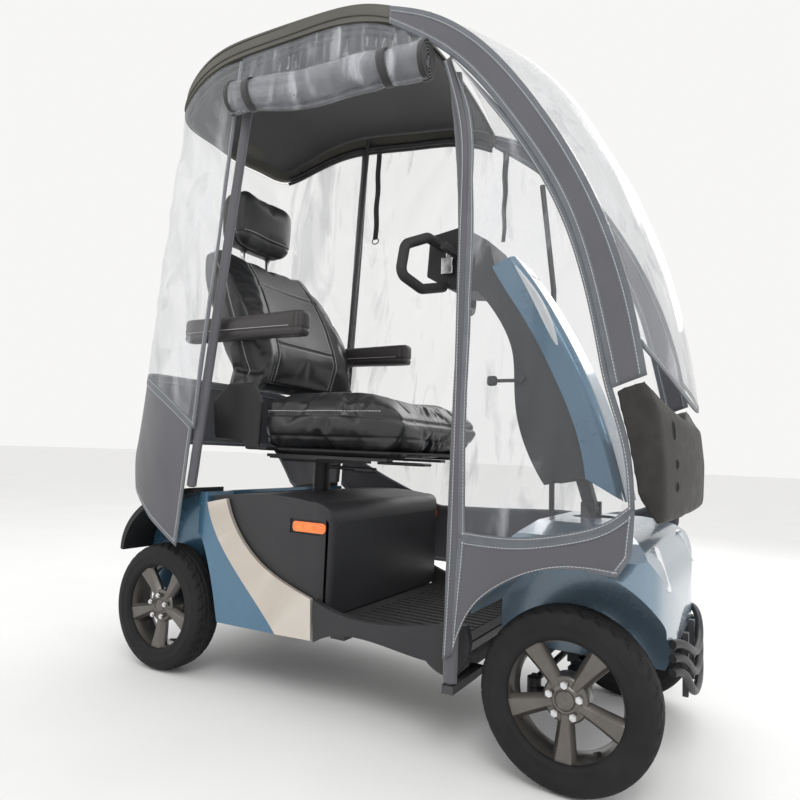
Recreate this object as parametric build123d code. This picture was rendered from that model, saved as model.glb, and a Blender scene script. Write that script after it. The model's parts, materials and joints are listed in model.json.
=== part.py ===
"""Mobility scooter with a full weather canopy. Millimetres, +X forward, +Y left, +Z up.

The origin is on the ground under the centre of the whole machine. Each piece is written
to parts/NAME.step. "Right" is the side at -Y, where the canopy's door is rolled up.
"""
from build123d import *
import math
import os

os.makedirs("parts", exist_ok=True)

# Wheels and steering
WHEEL_X = 545
TRACK_HALF = 283
TYRE_R = 165
TYRE_HALF_W = 42
BEAD_R = 108
RIM_LIP_R = 112
RIM_HALF_W = 36
HUB_R = 43
HUB_IN = 20
HUB_OUT = 34
AXLE_R = 10
CAP_R = 17
NUT_CIRCLE_R = 29
NUT_R = 7
SPOKES = 5
KINGPIN_Y = 205
KINGPIN_R = 9
EYE_R = 18
ARM_LENGTH = 90
SHOCK_Y = 112
RUNNING = 0.06

# Body
BODY_HALF_W = 303
DECK_Z = 212
SHELL_T = 8
WELL_Y = 218

# Tiller
TILT_AT = (515, 490)
COLUMN_TOP = (520, 480)
COLUMN_FOOT = (603, 300)
STEM_R = 16

# Seat
POST_X = -258
POST_R = 25
SEAT_PLATE_Z = 572
RAIL_Z = 584
PAN_Z = 600
ARM_Y = 265
ARM_HALF_W = 24
ARM_PIVOT = (-460, 915)

# Canopy
WALL_T = 3
REAR_EDGE_TOP = (-366, 1648)
WALL_Z = (150, 1800)
WALL_LOW = [(760, 352), (300, 352), (-100, 352), (-450, 352), (-640, 350), (-730, 304), (-743, 170)]
WALL_LOW_BACK = -746
WALL_HIGH = [(760, 326), (300, 326), (-100, 320), (-376, 301), (-556, 284), (-650, 236), (-672, 120)]
WALL_HIGH_BACK = -680
ROOF_EDGE = [(-740, 1530), (-650, 1590), (-550, 1638), (-433, 1665), (-307, 1663), (-161, 1650),
             (-16, 1633), (87, 1603), (150, 1574)]
ROOF_BAND = 40
ROOF_CROWN = 48
ROOF_CROWN_REAR = (0, 4, 34)
ROOF_T = 6
ROOF_FRONT = 117.7
SCREEN_OUTER = [(118, 1629), (210, 1586), (323, 1501), (461, 1329), (582, 1113), (660, 887), (686, 757), (698, 690)]
SCREEN_BULGE = (ROOF_CROWN, 62, 80, 80, 64, 50, 46, 38)
STRIP_END = (686, 752)
SCREEN_INNER = [(118, 1588), (200, 1528), (278, 1462), (420, 1280), (537, 1072), (605, 836), (628, 730)]
ZIP_LINE = [(280, 1460), (326, 1290), (334, 1127), (336, 916), (336, 600), (342, 440)]
SKIRT_TOP = [(342, 440), (468, 440), (560, 458), (629, 486), (676, 524)]
SKIRT_LOW = [(640, 398), (543, 405), (431, 362), (372, 307), (337, 217)]
REAR_SEAM = [(-800, 815), (-690, 785), (-562, 728), (-430, 640)]
POLE_R = 8
ROLL_R = 38
BRACKET_TOP = 156
FRONT_POLE = (328, 336, 156.6)
FRONT_POLE_KNEE = (322, 323, 1100)
FRONT_POLE_TOP = (284, 312, 1425)
REAR_POLE = (-436, 325, 489.5)
REAR_POLE_TOP = (-340, 282, 1690)


def chain(runs):
    """One closed wire in XZ at y = 0: a run of two points is straight, a longer run is a smooth curve."""
    edges = []
    for run in runs:
        points = [(x, 0, z) for x, z in run]
        edges.append(Line(*points) if len(points) == 2 else Spline(*points))
    first, last = runs[0][0], runs[-1][-1]
    if first != last:
        edges.append(Line((last[0], 0, last[1]), (first[0], 0, first[1])))
    return edges


def prism(runs, y0, y1):
    """A side outline given as runs, extruded from y0 to y1."""
    face = make_face(chain(runs))
    return extrude(Pos(0, y0, 0) * face, amount=y1 - y0, dir=(0, 1, 0))


def plate(points, y0, y1):
    """A side outline given as corner points, extruded from y0 to y1."""
    face = make_face(Polyline(*[(x, y0, z) for x, z in points], close=True))
    return extrude(face, amount=y1 - y0, dir=(0, 1, 0))


def block(x0, x1, y0, y1, z0, z1):
    return Pos((x0 + x1) / 2, (y0 + y1) / 2, (z0 + z1) / 2) * Box(x1 - x0, y1 - y0, z1 - z0)


def rounded(x0, x1, y0, y1, z0, z1, r):
    solid = block(x0, x1, y0, y1, z0, z1)
    return fillet(solid.edges(), r)


def rod(a, b, r):
    """A round bar from a to b."""
    line = Line(a, b)
    return extrude(Plane(origin=a, z_dir=line % 0) * Circle(r), amount=line.length)


def bent_tube(points, r, bend):
    path = FilletPolyline(*points, radius=bend)
    return sweep(Plane(origin=path @ 0, z_dir=path % 0) * Circle(r), path=path)


def both_sides(solid):
    return solid, mirror(solid, about=Plane.XZ)


def write(name, *solids):
    shape = solids[0] if len(solids) == 1 else Compound(children=[s for s in solids])
    export_step(shape, f"parts/{name}.step")


def about_y(points, x, y, z, outward):
    """Revolve (radius, outboard distance) points about the wheel's axle."""
    face = make_face(Polyline(*[(r, outward * d, 0) for r, d in points], close=True))
    return Pos(x, y, z) * revolve(face, axis=Axis.Y)


# Wheels

def tyre(x, y, side):
    """A pneumatic tyre: bead, bulging sidewall, rounded shoulder and a slightly crowned tread."""
    half = [(BEAD_R, 0), (BEAD_R, RIM_HALF_W), (RIM_LIP_R, RIM_HALF_W), (120, 41), (136, TYRE_HALF_W),
            (150, 41), (158, 36), (163, 26), (TYRE_R, 12)]
    other = [(r, -d) for r, d in reversed(half)][:-1]
    solid = about_y(half + other, x, y, TYRE_R, side)
    for groove in (-22, 0, 22):
        cut = [(TYRE_R + 2, groove - 2), (TYRE_R - 6, groove - 2), (TYRE_R - 6, groove + 2),
               (TYRE_R + 2, groove + 2)]
        solid -= about_y(cut, x, y, TYRE_R, side)
    return solid


def rim(x, y, side):
    """A cast wheel: barrel with lips, hub with its centre cap, and five raised spokes."""
    barrel = [(BEAD_R - 5, -RIM_HALF_W), (BEAD_R, -RIM_HALF_W), (BEAD_R, RIM_HALF_W), (RIM_LIP_R, RIM_HALF_W),
              (RIM_LIP_R, RIM_HALF_W + 4), (BEAD_R - 3, RIM_HALF_W + 4), (BEAD_R - 5, RIM_HALF_W)]
    hub = [(AXLE_R, -HUB_IN), (HUB_R - 10, -HUB_IN), (HUB_R, 8), (HUB_R, HUB_OUT - 12), (HUB_R - 5, HUB_OUT - 7),
           (CAP_R, HUB_OUT - 7), (CAP_R, HUB_OUT), (CAP_R - 2, HUB_OUT + 1), (0, HUB_OUT + 1), (0, HUB_OUT - 9),
           (AXLE_R, HUB_OUT - 9)]
    solid = about_y(barrel, x, y, TYRE_R, side) + about_y(hub, x, y, TYRE_R, side)
    for k in range(SPOKES):
        solid += Pos(x, y, TYRE_R) * Rot(0, 360 / SPOKES * k + 90, 0) * spoke(side)
    return solid


def spoke(side):
    """One spoke along +X from the hub to the barrel, with a ridge down its middle."""
    low = Pos(34, side * 8, 0) * Rot(0, 90, 0) * spoke_section(36, side)
    high = Pos(BEAD_R - 3, side * 16, 0) * Rot(0, 90, 0) * spoke_section(26, side)
    return loft([low, high])


def spoke_section(width, side):
    half = width / 2
    points = [(-half, 0), (-half, side * 8), (-half * 0.4, side * 14), (half * 0.4, side * 14),
              (half, side * 8), (half, 0)]
    return make_face(Polyline(*points, close=True))


def wheel_nuts(x, y, side):
    nuts = []
    for k in range(SPOKES):
        turn = math.radians(360 / SPOKES * (k + 0.5) - 90)
        at = (x + NUT_CIRCLE_R * math.cos(turn), z_of(NUT_CIRCLE_R, turn))
        nuts.append(nut(at, y + side * (HUB_OUT - 7), side))
    return nuts


def z_of(radius, turn):
    return TYRE_R + radius * math.sin(turn)


def nut(at, y, side):
    """A domed hexagon nut standing on the hub's face."""
    face = Plane(origin=(at[0], y, at[1]), z_dir=(0, side, 0))
    hexagon = extrude(face * RegularPolygon(NUT_R, 6), amount=7)
    dome = extrude(face.offset(7) * Circle(NUT_R - 2), amount=3)
    return hexagon + dome


def make_wheels():
    for end, x in (("front", WHEEL_X), ("rear", -WHEEL_X)):
        for name, side in (("right", -1), ("left", 1)):
            y = side * TRACK_HALF
            write(f"tyre_{end}_{name}", tyre(x, y, side))
            write(f"rim_{end}_{name}", rim(x, y, side))
            write(f"wheel_nuts_{end}_{name}", *wheel_nuts(x, y, side))


# Front axle and steering

def knuckle():
    """The right-hand steering knuckle: kingpin, fork, stub axle and steering arm with its pin."""
    x, y = WHEEL_X, -KINGPIN_Y
    solid = rod((x, y, 128), (x, y, 204), KINGPIN_R)
    solid += rod((x, y, 182), (x, y, 204), 17)
    solid += rod((x, y, 126), (x, y, 148), 17)
    solid += block(x - 14, x + 14, y - 34, y - 20, 126, 204)
    solid += block(x - 12, x + 12, y - 22, y, 183, 203)
    solid += block(x - 12, x + 12, y - 22, y, 127, 147)
    solid += rod((x, y - 30, TYRE_R), (x, -TRACK_HALF - HUB_OUT + 10, TYRE_R), AXLE_R - RUNNING)
    solid += block(x - ARM_LENGTH, x, y - 9, y + 9, 128, 142)
    solid += rod((x - ARM_LENGTH, y, 128), (x - ARM_LENGTH, y, 142), 14)
    return solid + rod((x - ARM_LENGTH, y, 140), (x - ARM_LENGTH, y, 166), 6)


def tie_rod():
    """Joins the two steering arms. The eye at the left end is bored larger, for the open pivot."""
    x = WHEEL_X - ARM_LENGTH
    low, high = 144, 160
    solid = rod((x, -KINGPIN_Y + 8, 152), (x, KINGPIN_Y - 8, 152), 7)
    for y, bore in ((-KINGPIN_Y, 6 + RUNNING), (KINGPIN_Y, 8)):
        solid += rod((x, y, low), (x, y, high), 14)
        solid -= rod((x, y, low - 1), (x, y, high + 1), bore)
    return solid


def front_axle():
    """The beam between the kingpin eyes, with the spring seats."""
    solid = block(WHEEL_X - 16, WHEEL_X + 16, -KINGPIN_Y + 14, KINGPIN_Y - 14, 152, 178)
    for y in (-KINGPIN_Y, KINGPIN_Y):
        solid += rod((WHEEL_X, y, 149), (WHEEL_X, y, 181), EYE_R)
        solid -= rod((WHEEL_X, y, 148), (WHEEL_X, y, 182), KINGPIN_R + RUNNING)
    for y in (-SHOCK_Y, SHOCK_Y):
        solid += rod((WHEEL_X, y, 178), (WHEEL_X, y, 188), 24)
    return solid


def shock(y):
    """A coil-over damper: damper body, rod, spring sleeve and top mount."""
    body = rod((WHEEL_X, y, 188), (WHEEL_X, y, 331), 11)
    return body + rod((WHEEL_X, y, 202), (WHEEL_X, y, 312), 21)


def make_steering():
    right, left = both_sides(knuckle())
    write("knuckle_right", right)
    write("knuckle_left", left)
    write("tie_rod", tie_rod())
    write("front_axle", front_axle())
    write("front_shocks", shock(-SHOCK_Y), shock(SHOCK_Y))


# Chassis

def chassis_frame():
    """Box-section spine with outriggers, front tower with the column sleeve, and the seat-post socket."""
    solid = block(-457, 480, -35, 35, 150, 190)
    solid -= block(430, 481, -36, 36, 149, 170)
    for x, half in ((-420, 205), (-20, 225), (300, 225)):
        solid += block(x - 20, x + 20, -half, half, 152, 188)
    solid += block(477, WHEEL_X - 16, -40, 40, 152, 190)
    solid += block(490, 522, -40, 40, 150, 345)
    solid += block(490, 590, -140, 140, 331, 345)
    foot, top = column_point(0.12), column_point(0.62)
    solid += rod(foot, top, STEM_R + 10)
    solid -= rod(column_point(-0.4), column_point(1.2), STEM_R + RUNNING)
    solid += rod((POST_X, 0, 180), (POST_X, 0, 462), POST_R + 7)
    solid -= rod((POST_X, 0, 240), (POST_X, 0, 463), POST_R + RUNNING)
    for y0, y1 in ((-347, -190), (190, 347)):
        solid += block(FRONT_POLE[0] - 12, FRONT_POLE[0] + 12, y0, y1, 140, BRACKET_TOP)
    return solid


def column_point(t):
    """A point on the steering axis: 0 is the stem's foot, 1 its top."""
    x = COLUMN_FOOT[0] + t * (COLUMN_TOP[0] - COLUMN_FOOT[0])
    z = COLUMN_FOOT[1] + t * (COLUMN_TOP[1] - COLUMN_FOOT[1])
    return (x, 0, z)


def transaxle():
    """Motor, gearbox and the two half-shaft tubes, with the stub shafts the rear wheels turn on."""
    x, z = -WHEEL_X, TYRE_R
    solid = rod((x, -70, z), (x, 70, z), 66)
    solid += rod((x + 40, 0, z + 10), (x + 40, 150, z + 10), 48)
    solid += rod((x, -215, z), (x, 215, z), 24)
    solid += rod((x, -TRACK_HALF - HUB_OUT + 10, z), (x, TRACK_HALF + HUB_OUT - 10, z), AXLE_R - RUNNING)
    for side in (-1, 1):
        solid += rod((x, side * 215, z), (x, side * 258, z), 34)
    return solid


def make_chassis():
    write("chassis_frame", chassis_frame())
    write("transaxle", transaxle())
    write("batteries", rounded(-225, -60, -205, -10, 201, 400, 6), rounded(-225, -60, 10, 205, 201, 400, 6))


# Body

FAIRING_TOP = [(-400, 478), (-500, 470), (-620, 428), (-690, 352), (-706, 250)]
COVER_HALF_W = BODY_HALF_W - 13
COVER_SIDE = [[(-398, 440), (-386, 470)], [(-386, 470), (-300, 478), (-180, 484), (-70, 476)],
              [(-70, 476), (-24, 462), (-12, 430)], [(-12, 430), (-14, 214)], [(-14, 214), (-140, 214)],
              [(-140, 214), (-223, 290), (-306, 372), (-398, 440)]]
SWOOSH_LOW = [(-396, 452), (-359, 375), (-305, 311), (-232, 242), (-146, 160)]
SWOOSH_HIGH = [(-330, 466), (-285, 386), (-203, 316), (-123, 280), (-46, 256)]
WELL = [(-334, 140), (-356, 221), (-386, 309), (-424, 372), (-500, 396), (-600, 380), (-760, 300)]


def rear_fairing():
    """The blue rear shell: side cheeks ahead of the wheels, wheel wells, and a rounded tail."""
    outline = [SWOOSH_LOW, [(-146, 160), (-334, 156)], [(-334, 156), (-690, 190)], [(-690, 190), (-706, 250)],
               list(reversed(FAIRING_TOP)), [(-400, 478), (-396, 452)]]
    solid = prism(outline, -BODY_HALF_W, BODY_HALF_W)
    well = [WELL, [(-760, 300), (-760, 140)], [(-760, 140), (-334, 140)]]
    for y0, y1 in ((-BODY_HALF_W - 5, -WELL_Y), (WELL_Y, BODY_HALF_W + 5)):
        solid -= prism(well, y0, y1)
        solid -= block(-720, -424, y0, y1, 100, 520)
    inner = [[(-388, 466), (-350, 375), (-300, 318), (-226, 250), (-130, 150)], [(-130, 150), (-330, 120)],
             [(-330, 120), (-690, 150)], [(-690, 150), (-697, 250)],
             [(-697, 250), (-682, 346), (-615, 420), (-498, 461), (-402, 469)], [(-402, 469), (-388, 466)]]
    solid -= prism(inner, -WELL_Y + SHELL_T, WELL_Y - SHELL_T)
    cheek = [[(-392, 440), (-345, 362), (-292, 300), (-222, 232), (-120, 140)], [(-120, 140), (-322, 140)],
             [(-322, 140), (-344, 226), (-374, 316), (-392, 440)]]
    solid -= prism(cheek, -BODY_HALF_W + SHELL_T, BODY_HALF_W - SHELL_T)
    front_cut = [(-424, 478), (-330, 478), (-100, 150), (-120, 120), (-330, 120)]
    solid -= plate(front_cut, -WELL_Y + SHELL_T, WELL_Y - SHELL_T)
    solid -= rod((-WHEEL_X, -WELL_Y - 5, TYRE_R), (-WHEEL_X, WELL_Y + 5, TYRE_R), 38)
    return solid - prism(COVER_SIDE, -COVER_HALF_W - 0.2, COVER_HALF_W + 0.2)


def rear_mudguard():
    """The right-hand black blade over the rear wheel, from the deck down behind the tyre."""
    top = [(-427, 488), (-500, 478), (-620, 436), (-698, 360), (-712, 300)]
    low = [(-700, 298), (-686, 350), (-612, 424), (-498, 464), (-427, 474)]
    return prism([top, [(-712, 300), (-700, 298)], low, [(-427, 474), (-427, 488)]], -318, -WELL_Y - 1)


def side_trim():
    """The right-hand pale trim that sweeps from the seat deck down to the floor."""
    outline = [SWOOSH_HIGH, [(-46, 256), (-40, 164)], [(-40, 164), (-146, 160)], list(reversed(SWOOSH_LOW)),
               [(-396, 452), (-330, 466)]]
    return prism(outline, -BODY_HALF_W - 1, -BODY_HALF_W + 9)


def battery_cover():
    """The charcoal box under the seat: rounded, hollow below, with a sleeve hole for the seat post."""
    half_w = COVER_HALF_W
    solid = prism(COVER_SIDE, -half_w, half_w)
    solid = solid & Pos(-231, 0, 200) * extrude(RectangleRounded(438, 2 * half_w, 38), amount=300)
    inner = [(-390, 442), (-380, 462), (-300, 470), (-180, 476), (-70, 468), (-34, 455), (-22, 428), (-22, 200),
             (-140, 200), (-232, 290), (-316, 372)]
    solid -= plate(inner, -half_w + SHELL_T, half_w - SHELL_T)
    solid -= rod((POST_X, 0, 440), (POST_X, 0, 500), POST_R + 9)
    for side in (-1, 1):
        solid -= Pos(-72, side * half_w, 416) * Box(112, 8, 34)
    return solid


def side_reflector(side):
    y = side * (BODY_HALF_W - 13 - 2)
    solid = Pos(-72, y, 416) * Box(96, 4, 24)
    return fillet(solid.edges().filter_by(Axis.Y), 9)


def floor_pan():
    """Deck plate, a step down under the batteries, and side sills with a raised bead."""
    deck = block(-13, 352, -BODY_HALF_W + 12, BODY_HALF_W - 12, DECK_Z - 10, DECK_Z)
    deck += block(-130, -12, -BODY_HALF_W + 16, BODY_HALF_W - 16, 192, 200)
    deck += block(-13, -5, -BODY_HALF_W + 16, BODY_HALF_W - 16, 192, DECK_Z)
    sill = [[(-36, 256), (31, 236), (152, 232), (285, 254)], [(285, 254), (344, 262)],
            [(344, 262), (352, 238), (342, 186)], [(342, 186), (317, 158), (289, 160), (258, 178)],
            [(258, 178), (115, 192), (17, 184), (-32, 162)], [(-32, 162), (-36, 256)]]
    solid = deck
    for y0, y1 in ((-BODY_HALF_W - 2, -BODY_HALF_W + 14), (BODY_HALF_W - 14, BODY_HALF_W + 2)):
        solid += prism(sill, y0, y1)
    solid += block(351, 361, -146, 146, DECK_Z - 10, DECK_Z)
    return solid


def floor_mat():
    """Rubber mat with ribs along the deck."""
    solid = block(-2, 330, -262, 262, DECK_Z, DECK_Z + 3)
    for k in range(-9, 10):
        solid += block(30, 300, k * 26 - 7, k * 26 + 7, DECK_Z + 3, DECK_Z + 5)
    return solid


COWL_SIDE = [(362, 262), (367, 318), (404, 412), (440, 470)]
ARCH = [(352, 240), (367, 300), (418, 352), (485, 391), (560, 402), (637, 391), (685, 352), (706, 284)]


def front_cowl():
    """The blue front shell: wheel arches, bonnet and nose, with a hole for the steering column."""
    outline = [COWL_SIDE, [(440, 470), (540, 474)], [(540, 474), (620, 466), (674, 440), (704, 388), (716, 308)],
               [(716, 308), (712, 250)], [(712, 250), (694, 205)], [(694, 205), (362, 205)],
               [(362, 205), (362, 262)]]
    solid = prism(outline, -325, 325)
    section = [(-325, 200), (-325, 392), (-316, 424), (-250, 450), (-150, 470), (0, 478), (150, 470), (250, 450),
               (316, 424), (325, 392), (325, 200)]
    face = make_face(Polyline(*[(340, y, z) for y, z in section], close=True))
    solid = solid & extrude(face, amount=400, dir=(1, 0, 0))
    nose = [(716, 0), (714, 120), (706, 230), (686, 300), (640, 326)]
    plan = Spline(*[(x, -y, 180) for x, y in reversed(nose)], *[(x, y, 180) for x, y in nose[1:]])
    back = Polyline((640, 326, 180), (340, 326, 180), (340, -326, 180), (640, -326, 180))
    solid = solid & extrude(make_face([plan, back]), amount=400, dir=(0, 0, 1))
    arch = [ARCH, [(706, 284), (740, 200)], [(740, 200), (340, 200)], [(340, 200), (352, 240)]]
    for y0, y1 in ((-330, -150), (150, 330)):
        solid -= prism(arch, y0, y1)
    hollow = [(372, 200), (372, 262), (378, 318), (414, 408), (448, 460), (540, 464), (616, 456), (666, 432), (692, 384),
              (704, 308), (700, 250), (680, 200)]
    inside = plate(hollow, -142, 142)
    solid -= inside
    solid -= rod(column_point(0.6), column_point(1.6), 46)
    for side in (-1, 1):
        solid -= headlamp(side)
    return solid


def headlamp(side):
    """A slanted lamp strip on the nose."""
    face = Plane(origin=(686, side * 206, 400), x_dir=(-0.1 * side, 0.95, 0.3 * side), z_dir=(0.9, side * 0.2, 0.4))
    return extrude(face * RectangleRounded(20, 84, 8), amount=12)


def front_bumper():
    """Three bars that wrap the nose, dipping to the middle."""
    bars = []
    for end_z, mid_z in ((266, 222), (240, 184), (214, 146)):
        near = (711, -187, end_z)
        points = [near, (724, -150, end_z - 6), (736, -70, mid_z + 8), (738, 0, mid_z)]
        path = Spline(*points, *[(x, -y, z) for x, y, z in reversed(points[:-1])])
        bars.append(sweep(Plane(origin=path @ 0, z_dir=path % 0) * Circle(8), path=path))
    post = block(716.2, 727, -70, -54, 138, 262)
    for bar in bars:
        post -= bar
    return bars + list(both_sides(post))


def make_body():
    write("rear_fairing", rear_fairing())
    write("rear_mudguards", *both_sides(rear_mudguard()))
    right, left = both_sides(side_trim())
    write("side_trims", right, left)
    write("battery_cover", battery_cover())
    write("side_reflectors", side_reflector(-1), side_reflector(1))
    write("floor_pan", floor_pan())
    write("floor_mat", floor_mat())
    write("front_cowl", front_cowl())
    write("headlamps", headlamp(-1), headlamp(1))
    write("front_bumper", *front_bumper())


# Tiller

def steering_stem():
    """The stem that turns in the chassis sleeve, with the fork that carries the tilt hinge."""
    solid = rod(column_point(-0.05), column_point(0.92), STEM_R)
    solid += rod(column_point(0.66), column_point(0.74), STEM_R + 12)
    for y0, y1 in ((-34, -22), (22, 34)):
        solid += block(500, 532, y0, y1, 452, 506)
    solid += block(506, 536, -34, 34, 446, 464)
    return solid


def tiller_spine():
    """Steel spine of the tiller: hinge barrel at its foot, up to the head."""
    hinge = rod((TILT_AT[0], -21.5, TILT_AT[1]), (TILT_AT[0], 21.5, TILT_AT[1]), 14)
    return hinge + plate(SPINE, -SPINE_HALF_W, SPINE_HALF_W)


SPINE = [(502, 494), (528, 500), (470, 700), (400, 860), (330, 980), (250, 1060), (222, 1044), (306, 966),
         (372, 850), (440, 690)]
SPINE_HALF_W = 16
TILLER_FRONT = [(604, 514), (566, 658), (520, 782), (459, 904), (398, 1008), (340, 1088)]
TILLER_MID = [(520, 560), (492, 680), (440, 800), (376, 920), (318, 1010), (286, 1064)]
TILLER_REAR = [(424, 540), (384, 610), (352, 712), (346, 786), (340, 850), (306, 930), (246, 1010)]


def tiller_cowl():
    """The blue front cover, a leaning shell with a rounded front."""
    outer = [TILLER_FRONT, [(340, 1088), (286, 1064)], list(reversed(TILLER_MID)), [(520, 560), (604, 514)]]
    solid = prism(outer, -78, 78)
    hollow = [(604, 508), (558, 654), (512, 778), (452, 898), (390, 1002), (340, 1076), (290, 1056), (312, 1006),
              (370, 916), (434, 796), (486, 676), (512, 556)]
    solid = fillet(solid.edges().filter_by(lambda e: e.geom_type != GeomType.LINE and e.center().X > 455
                                           and abs(e.center().Y) > 70), 20)
    return solid - plate(hollow, -70, 70)


def tiller_cover():
    """The dark rear cover with the instrument head on top, hollow for the spine."""
    outer = [TILLER_MID, [(286, 1064), (246, 1010)], list(reversed(TILLER_REAR)), [(424, 540), (520, 560)]]
    solid = prism(outer, -66, 66)
    head = plate([(98, 1062), (104, 1170), (196, 1184), (270, 1136), (288, 1068), (246, 1012), (172, 1022)],
                 -62, 62)
    solid += fillet(head.edges().filter_by(Axis.Y), 8)
    hollow = [(432, 520), (392, 613), (360, 714), (354, 787), (348, 853), (315, 935), (262, 1006), (292, 1064),
              (324, 1012), (382, 922), (446, 802), (498, 682), (530, 540)]
    slot = plate(SPINE, -SPINE_HALF_W - RUNNING, SPINE_HALF_W + RUNNING)
    return solid - plate(hollow, -59, 59) - slot


def handle_loop():
    """The right-hand loop grip, from the head's side outward and back."""
    points = [(140, -62.2, 1140), (132, -130, 1142), (112, -206, 1104), (106, -214, 1030), (126, -140, 1008),
              (148, -62.2, 1030)]
    return bent_tube(points, 13, 24) - block(98, 290, -62.1, 62, 1000, 1190)


def throttle_lever():
    """The finger paddle behind the head, one bar across with two blades."""
    solid = rod((206, -63, 1096), (206, -84, 1096), 7)
    blade = rounded(196, 210, -186, -84, 1086, 1106, 4)
    return solid + blade


def tilt_lever():
    """The knobbed lever beside the cover that frees the tilt."""
    solid = rod((366, -66.3, 786), (366, -80, 786), 9) + block(300, 366, -77, -71, 778, 786)
    return solid + rounded(282, 306, -84, -66.4, 770, 794, 7)


def speed_dial():
    face = Plane(origin=(140, 14, 1176.6), z_dir=(-0.15, 0, 0.99))
    return extrude(face * Circle(13), amount=11)


def ignition_key():
    """Key in the head's right side, with its ring and spare keys hanging."""
    shaft = rod((172, -62.4, 1120), (172, -70, 1120), 7)
    bow = rounded(160, 184, -82, -69, 1102, 1126, 3)
    tag = rounded(146, 178, -78, -73, 1060, 1104, 2)
    return shaft + bow + tag


def make_tiller():
    spine = tiller_spine()
    pin_hole = rod((TILT_AT[0], -40, TILT_AT[1]), (TILT_AT[0], 40, TILT_AT[1]), 6)
    write("steering_stem", steering_stem() + pin_hole)
    write("tiller_spine", spine - rod((TILT_AT[0], -40, TILT_AT[1]), (TILT_AT[0], 40, TILT_AT[1]), 6 + RUNNING))
    write("tiller_cowl", tiller_cowl())
    write("tiller_cover", tiller_cover())
    write("handle_grips", *both_sides(handle_loop()))
    write("throttle_lever", throttle_lever())
    write("tilt_lever", tilt_lever())
    write("speed_dial", speed_dial())
    write("ignition_key", ignition_key())


# Seat

def seat_post():
    solid = rod((POST_X, 0, 245), (POST_X, 0, SEAT_PLATE_Z - 8), POST_R)
    return solid + block(-330, -150, -95, 95, SEAT_PLATE_Z - 8, SEAT_PLATE_Z)


def seat_rails():
    """The two fixed rails on the swivel plate, with the swivel's release lever between them."""
    solid = block(-320, -160, -160, 160, SEAT_PLATE_Z, SEAT_PLATE_Z + 4)
    for side in (-1, 1):
        solid += block(-326, 60, side * 150 - 15, side * 150 + 15, SEAT_PLATE_Z + 4, RAIL_Z)
    return solid


def seat_pan():
    """The sliding pan: runners, plate, and the upright brackets for the back and the arms."""
    solid = block(-330, 100, -205, 205, RAIL_Z + 8, PAN_Z + 2)
    solid += block(2, 18, -126, -62, RAIL_Z - 7, RAIL_Z + 9)
    for side in (-1, 1):
        solid += block(-300, 100, side * 150 - 13, side * 150 + 13, RAIL_Z + 0.4, RAIL_Z + 9)
        low, high = sorted((side * 244, side * 256))
        solid += plate([(-440, 618), (-280, 612), (-276, 720), (-310, 770), (-400, 770), (-452, 720)], low, high)
        low, high = sorted((side * 200, side * 256))
        solid += block(-326, -250, low, high, RAIL_Z + 9, PAN_Z + 2)
        low, high = sorted((side * 244, side * 256))
        solid += block(-326, -282, low, high, RAIL_Z + 9, 640)
    return solid


def seat_cushion():
    """Plain cushion block with a rounded front and a slight dip, closed."""
    outline = [[(-300, 606), (110, 606)], [(110, 606), (142, 640), (140, 690), (96, 716)],
               [(96, 716), (0, 734), (-120, 738), (-300, 724)], [(-300, 724), (-300, 606)]]
    solid = prism(outline, -240, 240)
    return fillet(solid.edges().filter_by(Axis.Z), 20)


def backrest():
    """Reclined back block, wider at the shoulders' bolsters, with the pivot bosses."""
    outline = [[(-318, 760), (-345, 900), (-420, 1060), (-535, 1196)], [(-535, 1196), (-610, 1186)],
               [(-610, 1186), (-556, 1030), (-490, 880), (-440, 760)], [(-440, 760), (-318, 760)]]
    solid = prism(outline, -235, 235)
    solid = fillet(solid.edges().filter_by(lambda e: e.geom_type != GeomType.LINE), 22)
    for side in (-1, 1):
        low, high = sorted((side * 226, side * 243))
        solid += plate([(-390, 660), (-330, 656), (-322, 790), (-420, 800)], low, high)
        solid += rod((ARM_PIVOT[0], side * 228, ARM_PIVOT[1]), (ARM_PIVOT[0], side * 240.6, ARM_PIVOT[1]), 16)
    return solid


def headrest():
    solid = rounded(-628, -516, -128, 128, 1226, 1408, 40)
    for side in (-1, 1):
        solid += rod((-572, side * 60, 1110), (-572, side * 60, 1240), 6)
    return solid


def headrest_sleeves(side):
    return rod((-572, side * 60, 1070), (-572, side * 60, 1200), 6 + RUNNING)


def armrest(side):
    """Boxy padded arm that flips up beside the back."""
    y = side * ARM_Y
    return rounded(-552, -128, y - ARM_HALF_W, y + ARM_HALF_W, 880, 952, 10)


def make_seat():
    back = backrest()
    for side in (-1, 1):
        back -= headrest_sleeves(side)
    write("seat_base", seat_post() + seat_rails())
    write("seat_pan", seat_pan())
    write("seat_cushion", seat_cushion())
    write("backrest", back)
    write("headrest", headrest())
    write("armrest_right", armrest(-1))
    write("armrest_left", armrest(1))
    level = RAIL_Z - 12
    bar = bent_tube([(10, -124, level), (134, -124, level), (134, -64, level), (10, -64, level)], 3.6, 14)
    write("slide_lever", bar)
    swivel = rod((-150, -110, 556), (-40, -118, 552), 5) + rounded(-60, 0, -130, -108, 545, 559, 5)
    write("swivel_lever", swivel)


# Canopy

def wall_points(points, back, inset):
    """The plan outline, right side to left, moved inwards by inset."""
    right = [(x, -y) for x, y in points]
    whole = right + [(back, 0)] + [(x, -y) for x, y in reversed(right)]
    moved = []
    for k, (x, y) in enumerate(whole):
        ax, ay = whole[max(k - 1, 0)]
        bx, by = whole[min(k + 1, len(whole) - 1)]
        run = math.hypot(bx - ax, by - ay)
        moved.append((x + inset * (by - ay) / run, y + inset * (ax - bx) / run))
    return moved


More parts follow.
